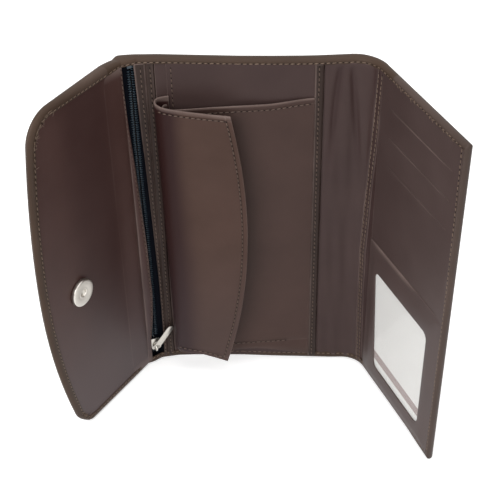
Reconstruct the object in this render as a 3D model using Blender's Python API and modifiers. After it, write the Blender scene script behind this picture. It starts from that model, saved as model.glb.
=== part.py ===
import math

import bmesh
import bpy
from mathutils import Matrix, Vector

# A folding wallet that stands open on its long edges like a screen. From left
# to right, seen from inside, it has a snap flap, a narrow fold with a zip, the
# centre panel, a soft spine and a panel for cards. Metres, +Z up, inside
# towards -Y, and the origin under the middle of the whole wallet.
# Each panel has its own frame: x along the panel, y from the inner face to the
# outer face, z up. The inner face of a panel's lining lies at y = 0.

# Sheet materials
COVER_THICKNESS = 0.0012
LINING_THICKNESS = 0.0008
BOARD_THICKNESS = 0.0007
CLOTH_THICKNESS = 0.0003
LAYER_GAP = 0.0002
SEAM_GAP = 0.0003
CUTTER_OVERRUN = 0.004
WELD_DISTANCE = 0.000001

# All panels
PANEL_HEIGHT = 0.190
RIM_SET_BACK = 0.0004
LINING_INSET = 0.0015
BOARD_INSET = 0.0040
CORNER_STEPS = 10

# Centre panel
CENTRE_WIDTH = 0.086
ZIP_BAG_DEPTH = 0.0017
ZIP_BAG_MARGIN = 0.006

# Narrow fold with the zip
FOLD_STRIP_WIDTH = 0.0075
ZIP_STRIP_WIDTH = 0.0078
ZIP_STRIP_TURN = math.radians(24.0)
ZIP_FROM_CORNER = 0.0029
EDGE_STRIP_WIDTH = 0.0038

# Flap
FLAP_WIDTH = 0.072
FLAP_TURN = math.radians(57.5)
FLAP_CORNER_RADIUS = 0.018
FLAP_EDGE_RADIUS = 0.530
FLAP_EDGE_STEPS = 14

# Spine
SPINE_FLAT_WIDTH = 0.013
SPINE_INNER_RADIUS = 0.014
SPINE_TURN = math.radians(67.5)
SPINE_STEPS = 8

# Card panel
CARD_PANEL_WIDTH = 0.072
SLIT_WIDTH = 0.0008
SLIT_LENGTH = 0.054
SLIT_START = 0.0095
SLIT_DROPS = (0.0175, 0.0330, 0.0485)
WINDOW_POCKET_HEIGHT = 0.0920
WINDOW_POCKET_THICKNESS = 0.0007
WINDOW_POCKET_SEAM = 0.0035
WINDOW_POCKET_WIDTH = 0.0685
WINDOW_WIDTH = 0.0500
WINDOW_HEIGHT = 0.0590
WINDOW_START = 0.0095
WINDOW_SILL = 0.0155
WINDOW_CORNER_RADIUS = 0.0050
FILM_THICKNESS = 0.00015
FILM_MARGIN = 0.0030
CARD_WIDTH = 0.0540
CARD_HEIGHT = 0.0830
CARD_THICKNESS = 0.0004
CARD_CORNER_RADIUS = 0.0032
CARD_GAP = 0.00015

# Pockets and leaf on the centre panel
BILL_POCKET_START = 0.0140
BILL_POCKET_MARGIN = 0.0045
BILL_POCKET_THICKNESS = 0.0007
FRONT_POCKET_THICKNESS = 0.0007
FRONT_POCKET_HEIGHT = 0.1670
FRONT_POCKET_FOOT = 0.0040
FRONT_POCKET_BULGE = 0.0066
FRONT_POCKET_MIDDLE_BULGE = 0.0039
GUSSET_START = 0.0089
GUSSET_ROUNDING = 0.0013
BULGE_END = 0.0180
MIDDLE_BULGE_END = 0.0480
BINDING_WIDTH = 0.0040
LEAF_PLY_THICKNESS = 0.0006
LEAF_FOOT = 0.0090
LEAF_TOP = 0.1700
LEAF_ROOT_X = 0.0100
LEAF_ROOT_LIFT = 0.0079
LEAF_ROLL_WIDTH = 0.0030
LEAF_ROLL_LIFT = 0.0006
LEAF_TOP_WIDTH = 0.0325
LEAF_WIDTH = 0.0400
LEAF_BOTTOM_WIDTH = 0.0270
LEAF_WIDEST_HEIGHT = 0.0960
LEAF_OPEN_TURN = math.radians(7.0)
LEAF_ROWS = 16
LEAF_COLUMNS = 6

# Zip
TAPE_THICKNESS = 0.0004
TEETH_WIDTH = 0.0013
TEETH_THICKNESS = 0.0016
TEETH_SLOT = 0.0010
TEETH_FOOT = 0.0185
TEETH_HEAD_ROOM = 0.0060
STOP_HEIGHT = 0.0020
SLIDER_HEIGHT = 0.0068
SLIDER_PLATE = 0.0007
SLIDER_GAP = 0.0003
SLIDER_FLANGE = 0.0004
SLIDER_POST_WIDTH = 0.0004
SLIDER_POST_HEIGHT = 0.0014
SLIDER_FOOT = 0.0095
BAIL_HEIGHT = 0.0034
BAIL_WIRE_RADIUS = 0.0004
BAIL_RISE = 0.0019
BAIL_ROUNDING = 0.0009
BAIL_DROP = 0.00015
BAIL_CLEARANCE = 0.00015
BAIL_STEPS = 4
PULLER_LENGTH = 0.0188
PULLER_WIDTH = 0.0032
PULLER_TIP_WIDTH = 0.0020
PULLER_EYE_RADIUS = 0.0023
PULLER_EYE_HOLE_RADIUS = 0.0014
PULLER_THICKNESS = 0.0007
PULLER_LEAN = math.radians(9.0)
PULLER_YAW = math.radians(14.0)
ROUND_STEPS = 32

# Snap
SNAP_RADIUS = 0.00725
SNAP_HEIGHT = 0.0870
SNAP_FROM_FOLD = 0.0460
SOCKET_DEPTH = 0.0022
SOCKET_HOLE_RADIUS = 0.0021
SOCKET_FLOOR = 0.0006
SNAP_EDGE = 0.0005
STUD_PLATE = 0.0008
STUD_RADIUS = 0.0017
STUD_LENGTH = 0.0018
WASHER_RADIUS = 0.0055
WASHER_THICKNESS = 0.0003
PRONG_WIDTH = 0.0022
PRONG_THICKNESS = 0.0005
PRONG_FROM_MIDDLE = 0.0032
PRONG_GAP = 0.0002

# Hinge angles of the closed wallet, counted from the wallet as it stands here
FOLD_CLOSING = math.radians(48.0)
FLAP_CLOSING = math.radians(59.0)
SPINE_CLOSING = math.radians(75.0)
CARD_PANEL_CLOSING = math.radians(46.0)

# Sizes that follow from others
BILL_POCKET_END = CENTRE_WIDTH - BILL_POCKET_MARGIN
CENTRE_DEPTH = (
    LINING_THICKNESS + ZIP_BAG_DEPTH + BOARD_THICKNESS + COVER_THICKNESS
    + 3 * LAYER_GAP
)
FLAP_DEPTH = LINING_THICKNESS + BOARD_THICKNESS + COVER_THICKNESS + 2 * LAYER_GAP
CARD_PANEL_DEPTH = (
    LINING_THICKNESS + CLOTH_THICKNESS + BOARD_THICKNESS + COVER_THICKNESS
    + 3 * LAYER_GAP
)
# The zip's slider needs its room in front of the cover.
ZIP_STACK = (
    2 * SLIDER_PLATE + 2 * SLIDER_GAP + TEETH_THICKNESS + LAYER_GAP + COVER_THICKNESS
)
FOLD_DEPTH = max(CENTRE_DEPTH, ZIP_STACK)
BOARD_FRONT_IN_FLAP = LINING_THICKNESS + LAYER_GAP
BOARD_FRONT_IN_CARD_PANEL = LINING_THICKNESS + CLOTH_THICKNESS + 2 * LAYER_GAP

MATERIALS = {
    "cover_leather": ((0.075, 0.050, 0.044), 0.42, 0.0),
    "lining_leather": ((0.082, 0.053, 0.048), 0.38, 0.0),
    "board": ((0.45, 0.40, 0.33), 0.90, 0.0),
    "pocket_cloth": ((0.030, 0.025, 0.025), 0.85, 0.0),
    "zip_tape": ((0.010, 0.012, 0.022), 0.80, 0.0),
    "zip_coil": ((0.020, 0.026, 0.045), 0.35, 0.0),
    "nickel": ((0.62, 0.60, 0.56), 0.28, 1.0),
    "clear_film": ((0.85, 0.86, 0.86), 0.08, 0.0),
    "card": ((0.76, 0.75, 0.73), 0.55, 0.0),
}


def direction(angle):
    return Vector((math.cos(angle), math.sin(angle)))


def turned_point(point, centre, angle):
    return centre + Matrix.Rotation(angle, 2) @ (point - centre)


# Plan places of the folds, before the wallet is centred on the origin. The
# centre panel's frame starts at the corner between its fold strip and the zip.
FOLD_AXIS = Vector((FOLD_STRIP_WIDTH, 0.0))
ZIP_CORNER = Vector((0.0, 0.0))
ZIP_DIRECTION = math.pi + ZIP_STRIP_TURN
FLAP_AXIS = ZIP_CORNER + ZIP_STRIP_WIDTH * direction(ZIP_DIRECTION)
FLAP_DIRECTION = math.pi + FLAP_TURN
SPINE_AXIS = Vector((CENTRE_WIDTH, 0.0))
SPINE_CURVE_CENTRE = SPINE_AXIS + Vector((SPINE_FLAT_WIDTH, -SPINE_INNER_RADIUS))


def spine_point(turn, depth):
    """Place on the spine's curve, at an angle from its start and a depth behind its lining."""
    return SPINE_CURVE_CENTRE + (SPINE_INNER_RADIUS + depth) * direction(math.pi / 2 - turn)


CARD_AXIS = spine_point(SPINE_TURN / 2, 0.0)
CARD_START = spine_point(SPINE_TURN, 0.0)


def outer_point(start, along, depth, angle):
    """Place in plan at a length along a panel and a depth behind its lining."""
    return start + along * direction(angle) + depth * direction(angle + math.pi / 2)


FLAP_END = outer_point(FLAP_AXIS, -FLAP_WIDTH, FLAP_DEPTH, FLAP_TURN)
CARD_END_INNER = outer_point(CARD_START, CARD_PANEL_WIDTH, 0.0, -SPINE_TURN)
CARD_END_OUTER = outer_point(CARD_START, CARD_PANEL_WIDTH, CARD_PANEL_DEPTH, -SPINE_TURN)
LEFT_EDGE = FLAP_END.x
RIGHT_EDGE = CARD_END_OUTER.x
FRONT_EDGE = CARD_END_INNER.y
BACK_EDGE = max(CENTRE_DEPTH, FOLD_DEPTH)
PLAN_MIDDLE = Vector(((LEFT_EDGE + RIGHT_EDGE) / 2, (FRONT_EDGE + BACK_EDGE) / 2))


def clear_scene():
    for item in list(bpy.context.scene.objects):
        bpy.data.objects.remove(item, do_unlink=True)


def new_collection(name, hidden):
    collection = bpy.data.collections.new(name)
    bpy.context.scene.collection.children.link(collection)
    collection.hide_render = hidden
    return collection


def make_material(name):
    colour, roughness, metallic = MATERIALS[name]
    material = bpy.data.materials.new(name)
    material.use_nodes = True
    shader = material.node_tree.nodes["Principled BSDF"]
    shader.inputs["Base Color"].default_value = (*colour, 1.0)
    shader.inputs["Roughness"].default_value = roughness
    shader.inputs["Metallic"].default_value = metallic
    return material


clear_scene()
PARTS = new_collection("folding_wallet", False)
CUTTERS = new_collection("cutters", True)
FINISHES = {name: make_material(name) for name in MATERIALS}


def empty(name, place, angle, parent):
    """A frame in plan: place and turn relative to the parent's frame."""
    item = bpy.data.objects.new(name, None)
    PARTS.objects.link(item)
    item.parent = parent
    item.location = (place.x, place.y, 0.0)
    item.rotation_euler = (0.0, 0.0, angle)
    return item


def add_part(name, mesh, finish, parent, smooth=False):
    mesh.materials.clear()
    mesh.materials.append(FINISHES[finish])
    item = bpy.data.objects.new(name, mesh)
    PARTS.objects.link(item)
    item.parent = parent
    if smooth:
        mesh.shade_smooth()
        mesh.set_sharp_from_angle(angle=math.radians(35))
    return item


def add_cutter(name, mesh, parent):
    item = bpy.data.objects.new(name, mesh)
    CUTTERS.objects.link(item)
    item.parent = parent
    item.hide_render = True
    item.display_type = "WIRE"
    return item


def boolean(target, cutter, operation="DIFFERENCE"):
    modifier = target.modifiers.new(cutter.name, "BOOLEAN")
    modifier.operation = operation
    modifier.solver = "EXACT"
    modifier.object = cutter


def filled_mesh(name, outlines, half_thickness, placing):
    """Mesh of flat outlines, the first one with the others as holes, thickened both ways."""
    curve = bpy.data.curves.new(name, "CURVE")
    curve.dimensions = "2D"
    curve.fill_mode = "BOTH"
    curve.extrude = half_thickness
    for outline in outlines:
        spline = curve.splines.new("POLY")
        spline.points.add(len(outline) - 1)
        spline.use_cyclic_u = True
        for place, point in zip(spline.points, outline):
            place.co = (point[0], point[1], 0.0, 1.0)
    item = bpy.data.objects.new(name + "_outline", curve)
    bpy.context.scene.collection.objects.link(item)
    bpy.context.view_layer.update()
    evaluated = item.evaluated_get(bpy.context.evaluated_depsgraph_get())
    mesh = bpy.data.meshes.new_from_object(evaluated)
    mesh.name = name
    bpy.data.objects.remove(item, do_unlink=True)
    bpy.data.curves.remove(curve)
    work = bmesh.new()
    work.from_mesh(mesh)
    bmesh.ops.remove_doubles(work, verts=work.verts, dist=WELD_DISTANCE)
    bmesh.ops.transform(work, matrix=placing, verts=work.verts)
    bmesh.ops.recalc_face_normals(work, faces=work.faces)
    work.to_mesh(mesh)
    work.free()
    return mesh


def wall_mesh(name, outline, bottom, top):
    """Upright wall: an outline in plan, raised from bottom to top."""
    placing = Matrix.Translation((0.0, 0.0, (bottom + top) / 2))
    return filled_mesh(name, [outline], (top - bottom) / 2, placing)


def plate_mesh(name, outlines, front, back):
    """Upright plate: outlines in (x, z), between two depths."""
    placing = Matrix.Translation((0.0, (front + back) / 2, 0.0)) @ Matrix.Rotation(
        math.pi / 2, 4, "X"
    )
    return filled_mesh(name, outlines, (back - front) / 2, placing)


def block(left, right, bottom, top):
    return [(left, bottom), (right, bottom), (right, top), (left, top)]


def box_mesh(name, low, high):
    work = bmesh.new()
    size = [b - a for a, b in zip(low, high)]
    middle = [(a + b) / 2 for a, b in zip(low, high)]
    placing = Matrix.Translation(middle) @ Matrix.Diagonal((*size, 1.0))
    bmesh.ops.create_cube(work, size=1.0, matrix=placing)
    mesh = bpy.data.meshes.new(name)
    work.to_mesh(mesh)
    work.free()
    return mesh


def arc_points(centre, radius, start, end, steps):
    """Points on an arc, both ends included."""
    angles = [start + (end - start) * i / steps for i in range(steps + 1)]
    return [
        (centre[0] + radius * math.cos(a), centre[1] + radius * math.sin(a)) for a in angles
    ]


def round_rectangle(left, right, bottom, top, radius):
    quarter = math.pi / 2
    corners = [
        ((right - radius, bottom + radius), -quarter),
        ((right - radius, top - radius), 0.0),
        ((left + radius, top - radius), quarter),
        ((left + radius, bottom + radius), 2 * quarter),
    ]
    points = []
    for centre, start in corners:
        points += arc_points(centre, radius, start, start + quarter, CORNER_STEPS // 2)
    return points


def offset_path(path, distance):
    """The path moved to its left by a distance, or by one distance for each point, mitred."""
    points = [Vector(p) for p in path]
    distances = distance if isinstance(distance, list) else [distance] * len(points)
    moved = []
    for i, point in enumerate(points):
        before = (point - points[i - 1]).normalized() if i else None
        after = (points[i + 1] - point).normalized() if i + 1 < len(points) else None
        before = before or after
        after = after or before
        left_before = Vector((-before.y, before.x))
        left_after = Vector((-after.y, after.x))
        mitre = (left_before + left_after).normalized()
        moved.append(point + mitre * (distances[i] / mitre.dot(left_before)))
    return [tuple(p) for p in moved]


def ribbon(path, front, back):
    """Outline of a band along a path, between two offsets to the path's left."""
    return offset_path(path, front) + offset_path(path, back)[::-1]


def turned_mesh(name, profile):
    """Bare profile in the X-Z plane, for a Screw modifier about Z."""
    mesh = bpy.data.meshes.new(name)
    edges = [(i, i + 1) for i in range(len(profile) - 1)]
    mesh.from_pydata([(r, 0.0, z) for r, z in profile], edges, [])
    return mesh


def turned_part(name, profile, finish, parent):
    mesh = turned_mesh(name, profile)
    item = add_part(name, mesh, finish, parent)
    screw = item.modifiers.new("turn", "SCREW")
    screw.steps = ROUND_STEPS
    screw.render_steps = ROUND_STEPS
    screw.use_merge_vertices = True
    screw.merge_threshold = WELD_DISTANCE
    screw.use_smooth_shade = True
    return item


# Frames of the panels. Each frame of a moving panel stands on its fold's axis.
wallet = bpy.data.objects.new("wallet_frame", None)
PARTS.objects.link(wallet)
wallet.location = (-PLAN_MIDDLE.x, -PLAN_MIDDLE.y, 0.0)
centre_frame = empty("centre_frame", ZIP_CORNER, 0.0, wallet)
fold_frame = empty("fold_frame", FOLD_AXIS, 0.0, centre_frame)
strip_frame = empty("strip_frame", -FOLD_AXIS, 0.0, fold_frame)
zip_frame = empty("zip_frame", FLAP_AXIS, ZIP_STRIP_TURN, strip_frame)
flap_frame = empty("flap_frame", Vector((0.0, 0.0)), FLAP_TURN - ZIP_STRIP_TURN, zip_frame)
spine_frame = empty("spine_frame", SPINE_AXIS, 0.0, centre_frame)
spine_plan_frame = empty("spine_plan_frame", -SPINE_AXIS, 0.0, spine_frame)
card_fold_frame = empty("card_fold_frame", CARD_AXIS - SPINE_AXIS, 0.0, spine_frame)
card_plan_frame = empty("card_plan_frame", -CARD_AXIS, 0.0, card_fold_frame)
card_frame = empty("card_frame", CARD_START, -SPINE_TURN, card_plan_frame)


def shell_cover(name, parent, outer, hollow):
    """A cover with its edges turned in: a wall, hollowed from the inner side between its rims."""
    cover = add_part(name, wall_mesh(name, outer, 0.0, PANEL_HEIGHT), "cover_leather", parent)
    hollow_mesh = wall_mesh(
        name + "_hollow", hollow, COVER_THICKNESS, PANEL_HEIGHT - COVER_THICKNESS
    )
    boolean(cover, add_cutter(name + "_hollow", hollow_mesh, parent))
    return cover


def lining_levels():
    return LINING_INSET, PANEL_HEIGHT - LINING_INSET


# Centre panel
def make_centre_panel():
    left = FOLD_STRIP_WIDTH + SEAM_GAP / 2
    right = CENTRE_WIDTH - SEAM_GAP / 2
    shell_cover(
        "back_cover",
        centre_frame,
        block(left, right, RIM_SET_BACK, CENTRE_DEPTH),
        block(
            left - CUTTER_OVERRUN,
            right + CUTTER_OVERRUN,
            RIM_SET_BACK - CUTTER_OVERRUN,
            CENTRE_DEPTH - COVER_THICKNESS,
        ),
    )
    low, high = lining_levels()
    lining = box_mesh(
        "back_lining", (left, 0.0, low), (right, LINING_THICKNESS, high)
    )
    add_part("back_lining", lining, "lining_leather", centre_frame)
    board_back = CENTRE_DEPTH - COVER_THICKNESS - LAYER_GAP
    board = box_mesh(
        "back_board",
        (left + BOARD_INSET, board_back - BOARD_THICKNESS, BOARD_INSET),
        (right - BOARD_INSET, board_back, PANEL_HEIGHT - BOARD_INSET),
    )
    add_part("back_board", board, "board", centre_frame)
    make_zip_bag(left, right)


def make_zip_bag(left, right):
    """Cloth pocket behind the centre lining, folded at its right end and open to the zip."""
    front = LINING_THICKNESS + LAYER_GAP
    back = front + ZIP_BAG_DEPTH
    end = right - ZIP_BAG_MARGIN
    bag = wall_mesh(
        "zip_pocket_bag",
        block(left, end, front, back),
        BOARD_INSET,
        PANEL_HEIGHT - BOARD_INSET,
    )
    part = add_part("zip_pocket_bag", bag, "pocket_cloth", centre_frame)
    room = wall_mesh(
        "zip_pocket_bag_room",
        block(
            left - CUTTER_OVERRUN,
            end - CLOTH_THICKNESS,
            front + CLOTH_THICKNESS,
            back - CLOTH_THICKNESS,
        ),
        BOARD_INSET + CLOTH_THICKNESS,
        PANEL_HEIGHT - BOARD_INSET - CLOTH_THICKNESS,
    )
    boolean(part, add_cutter("zip_pocket_bag_room", room, centre_frame))


# Pockets on the centre panel
def front_pocket_path():
    bill_front = LAYER_GAP + BILL_POCKET_THICKNESS
    edge = bill_front + LAYER_GAP + FRONT_POCKET_THICKNESS / 2
    root = LAYER_GAP + FRONT_POCKET_THICKNESS / 2
    corner = (GUSSET_START + GUSSET_ROUNDING, -(FRONT_POCKET_BULGE - GUSSET_ROUNDING))
    rounding = arc_points(corner, GUSSET_ROUNDING, math.pi, 1.5 * math.pi, CORNER_STEPS // 2)
    return (
        [(GUSSET_START, -root)]
        + rounding
        + [
            (BULGE_END, -FRONT_POCKET_BULGE),
            (MIDDLE_BULGE_END, -FRONT_POCKET_MIDDLE_BULGE),
            (BILL_POCKET_END, -edge),
        ]
    )


def make_pockets():
    low, high = lining_levels()
    bill_back = -LAYER_GAP
    bill = box_mesh(
        "bill_pocket_panel",
        (BILL_POCKET_START, bill_back - BILL_POCKET_THICKNESS, low),
        (BILL_POCKET_END, bill_back, high),
    )
    add_part("bill_pocket_panel", bill, "lining_leather", centre_frame)
    half = FRONT_POCKET_THICKNESS / 2
    pocket = wall_mesh(
        "front_pocket_panel",
        ribbon(front_pocket_path(), -half, half),
        FRONT_POCKET_FOOT,
        FRONT_POCKET_HEIGHT,
    )
    add_part("front_pocket_panel", pocket, "lining_leather", centre_frame)
    binding = box_mesh(
        "pocket_edge_binding",
        (BILL_POCKET_END + LAYER_GAP, -LAYER_GAP - LINING_THICKNESS, low),
        (min(BILL_POCKET_END + BINDING_WIDTH, CENTRE_WIDTH - SEAM_GAP), -LAYER_GAP, high),
    )
    add_part("pocket_edge_binding", binding, "lining_leather", centre_frame)


# Leaf that turns like a page over the pockets
def leaf_width(height):
    """Width of the leaf at a height: an arc through its top, widest and bottom widths."""
    ends = [
        Vector((LEAF_BOTTOM_WIDTH, LEAF_FOOT)),
        Vector((LEAF_WIDTH, LEAF_WIDEST_HEIGHT)),
        Vector((LEAF_TOP_WIDTH, LEAF_TOP)),
    ]
    first, second = ends[1] - ends[0], ends[2] - ends[1]
    middle_1, middle_2 = (ends[0] + ends[1]) / 2, (ends[1] + ends[2]) / 2
    normal_1 = Vector((-first.y, first.x))
    cross = first.x * second.y - first.y * second.x
    step = (middle_2 - middle_1).dot(second) / (-cross)
    centre = middle_1 - normal_1 * step
    radius = (ends[0] - centre).length
    across = math.sqrt(max(radius**2 - (height - centre.y) ** 2, 0.0))
    return centre.x + across


def leaf_place(along):
    """Place in plan, in the leaf's own frame, at a length along the leaf from its hinge."""
    if along < LEAF_ROLL_WIDTH:
        share = along / LEAF_ROLL_WIDTH
        rise = -LEAF_ROLL_LIFT * math.sin(share * math.pi / 2)
        return Vector((along, rise))
    run = along - LEAF_ROLL_WIDTH
    tilt = -LEAF_OPEN_TURN
    return Vector((LEAF_ROLL_WIDTH, -LEAF_ROLL_LIFT)) + run * direction(tilt)


def make_leaf():
    hinge = Vector((LEAF_ROOT_X, -LEAF_ROOT_LIFT))
    frame = empty("leaf_frame", hinge, 0.0, centre_frame)
    ply_gap = LAYER_GAP / 2
    for name, side in (("leaf_front_ply", -1.0), ("leaf_back_ply", 1.0)):
        work = bmesh.new()
        rows = []
        for j in range(LEAF_ROWS + 1):
            height = LEAF_FOOT + (LEAF_TOP - LEAF_FOOT) * j / LEAF_ROWS
            alongs = [LEAF_ROLL_WIDTH * i / 2 for i in range(2)] + [
                LEAF_ROLL_WIDTH + (leaf_width(height) - LEAF_ROLL_WIDTH) * i / LEAF_COLUMNS
                for i in range(LEAF_COLUMNS + 1)
            ]
            places = offset_path([leaf_place(a) for a in alongs], side * ply_gap)
            rows.append([work.verts.new((x, y, height)) for x, y in places])
        for low_row, high_row in zip(rows, rows[1:]):
            for i in range(len(low_row) - 1):
                work.faces.new((low_row[i], low_row[i + 1], high_row[i + 1], high_row[i]))
        mesh = bpy.data.meshes.new(name)
        work.to_mesh(mesh)
        work.free()
        part = add_part(name, mesh, "lining_leather", frame)
        solid = part.modifiers.new("thickness", "SOLIDIFY")
        solid.thickness = LEAF_PLY_THICKNESS
        solid.offset = -side


# Narrow fold between the centre panel and the flap, with the zip
FOLD_TRIM = FOLD_DEPTH * math.tan(ZIP_STRIP_TURN / 2) + SEAM_GAP


def fold_path(trim):
    """Plan path of the fold from its hinge to the zip's far edge, in the centre's frame."""
    start = FOLD_AXIS - Vector((SEAM_GAP / 2, 0.0))
    end = FLAP_AXIS - trim * direction(ZIP_DIRECTION)
    return [tuple(end), tuple(ZIP_CORNER), tuple(start)]


def make_fold():
    path = fold_path(FOLD_TRIM)
    longer = [
        tuple(Vector(path[0]) + CUTTER_OVERRUN * direction(ZIP_DIRECTION)),
        path[1],
        tuple(Vector(path[2]) + Vector((CUTTER_OVERRUN, 0.0))),
    ]
    shell_cover(
        "fold_cover",
        strip_frame,
        ribbon(path, RIM_SET_BACK, FOLD_DEPTH),
        ribbon(longer, RIM_SET_BACK - CUTTER_OVERRUN, FOLD_DEPTH - COVER_THICKNESS),
    )
    low, high = lining_levels()
    end = FOLD_STRIP_WIDTH - SEAM_GAP / 2
    lining = box_mesh("fold_lining", (SEAM_GAP, 0.0, low), (end, LINING_THICKNESS, high))
    add_part("fold_lining", lining, "lining_leather", strip_frame)
    strip = box_mesh(
        "zip_edge_strip",
        (SEAM_GAP, -LAYER_GAP - LINING_THICKNESS, low),
        (EDGE_STRIP_WIDTH, -LAYER_GAP, high),
    )
    add_part("zip_edge_strip", strip, "lining_leather", strip_frame)


# Zip, in the frame of its strip: x from the flap's fold to the centre's corner
ZIP_MIDDLE = ZIP_STRIP_WIDTH - ZIP_FROM_CORNER
TEETH_MIDDLE_DEPTH = (
    FOLD_DEPTH - COVER_THICKNESS - LAYER_GAP - SLIDER_PLATE - SLIDER_GAP
    - TEETH_THICKNESS / 2
)
TEETH_FRONT = TEETH_MIDDLE_DEPTH - TEETH_THICKNESS / 2
TEETH_BACK = TEETH_MIDDLE_DEPTH + TEETH_THICKNESS / 2
SLIDER_FRONT = TEETH_FRONT - SLIDER_GAP - SLIDER_PLATE
SLIDER_HALF_WIDTH = TEETH_SLOT / 2 + TEETH_WIDTH + SLIDER_GAP + SLIDER_FLANGE
TEETH_HEAD = PANEL_HEIGHT - TEETH_HEAD_ROOM


def make_zip():
    tape_front = TEETH_MIDDLE_DEPTH - TAPE_THICKNESS / 2
    tape_back = TEETH_MIDDLE_DEPTH + TAPE_THICKNESS / 2
    low = LINING_INSET
    high = PANEL_HEIGHT - LINING_INSET
    inner = TEETH_SLOT / 2 + TEETH_WIDTH + LAYER_GAP / 2
    sides = (("flap_side", -1.0, SEAM_GAP), ("centre_side", 1.0, ZIP_STRIP_WIDTH - SEAM_GAP))
    for label, side, edge in sides:
        reach = sorted((ZIP_MIDDLE + side * inner, edge))
        tape = box_mesh("zip_tape", (reach[0], tape_front, low), (reach[1], tape_back, high))
        add_part("zip_tape_" + label, tape, "zip_tape", zip_frame)
        row = sorted(
            (ZIP_MIDDLE + side * TEETH_SLOT / 2, ZIP_MIDDLE + side * (TEETH_SLOT / 2 + TEETH_WIDTH))
        )
        teeth = box_mesh(
            "zip_teeth", (row[0], TEETH_FRONT, TEETH_FOOT), (row[1], TEETH_BACK, TEETH_HEAD)
        )
        add_part("zip_teeth_" + label, teeth, "zip_coil", zip_frame)
    half = TEETH_SLOT / 2 + TEETH_WIDTH
    stops = {
        "zip_bottom_stop": SLIDER_FOOT - LAYER_GAP - STOP_HEIGHT,
        "zip_top_stop": TEETH_HEAD + LAYER_GAP,
    }
    for name, foot in stops.items():
        stop = box_mesh(
            name,
            (ZIP_MIDDLE - half, TEETH_FRONT, foot),
            (ZIP_MIDDLE + half, TEETH_BACK, foot + STOP_HEIGHT),
        )
        add_part(name, stop, "nickel", zip_frame)
    make_slider()
    make_puller()


def make_slider():
    """Two plates round the teeth, joined by a post at the foot, with flanges over the teeth's sides."""
    frame = empty("slider_frame", Vector((ZIP_MIDDLE, 0.0)), 0.0, zip_frame)
    back = TEETH_BACK + SLIDER_GAP + SLIDER_PLATE
    foot, head = SLIDER_FOOT, SLIDER_FOOT + SLIDER_HEIGHT
    body = box_mesh(
        "zip_slider",
        (-SLIDER_HALF_WIDTH, SLIDER_FRONT, foot),
        (SLIDER_HALF_WIDTH, back, head),
    )
    slider = add_part("zip_slider", body, "nickel", frame)
    channel_half = SLIDER_HALF_WIDTH - SLIDER_FLANGE
    post_top = foot + SLIDER_POST_HEIGHT
    rooms = {
        "slider_teeth_room": (
            (-channel_half, SLIDER_FRONT + SLIDER_PLATE, post_top),
            (channel_half, back - SLIDER_PLATE, head + CUTTER_OVERRUN),
        ),
        "slider_tape_room": (
            (
                -SLIDER_HALF_WIDTH - CUTTER_OVERRUN,
                TEETH_MIDDLE_DEPTH - TAPE_THICKNESS / 2 - SLIDER_GAP,
                post_top,
            ),
            (
                SLIDER_HALF_WIDTH + CUTTER_OVERRUN,
                TEETH_MIDDLE_DEPTH + TAPE_THICKNESS / 2 + SLIDER_GAP,
                head + CUTTER_OVERRUN,
            ),
        ),
        "slider_left_foot_room": (
            (-SLIDER_HALF_WIDTH - CUTTER_OVERRUN, SLIDER_FRONT + SLIDER_PLATE, foot - CUTTER_OVERRUN),
            (-SLIDER_POST_WIDTH / 2, back - SLIDER_PLATE, post_top + SLIDER_GAP),
        ),
        "slider_right_foot_room": (
            (SLIDER_POST_WIDTH / 2, SLIDER_FRONT + SLIDER_PLATE, foot - CUTTER_OVERRUN),
            (SLIDER_HALF_WIDTH + CUTTER_OVERRUN, back - SLIDER_PLATE, post_top + SLIDER_GAP),
        ),
    }
    for name, (low, high) in rooms.items():
        boolean(slider, add_cutter(name, box_mesh(name, low, high), frame))
    bail = bail_mesh("slider_bail_joined")
    boolean(slider, add_cutter("slider_bail_joined", bail, frame), "UNION")


# The bail's lower leg hooks round the foot of the slider's front plate. The puller's
# eye turns about a line through the bail's opening, close above that leg.
PULLER_EYE_MIDDLE_RADIUS = (PULLER_EYE_RADIUS + PULLER_EYE_HOLE_RADIUS) / 2
PULLER_EYE_REACH = math.hypot(
    (PULLER_EYE_RADIUS - PULLER_EYE_HOLE_RADIUS) / 2, PULLER_THICKNESS / 2
)
BAIL_FOOT = SLIDER_FOOT - BAIL_DROP
PULLER_AXIS_DEPTH = SLIDER_FRONT - (BAIL_RISE - BAIL_WIRE_RADIUS) / 2
PULLER_AXIS_HEIGHT = BAIL_FOOT + BAIL_WIRE_RADIUS + BAIL_CLEARANCE + PULLER_EYE_REACH


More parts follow.
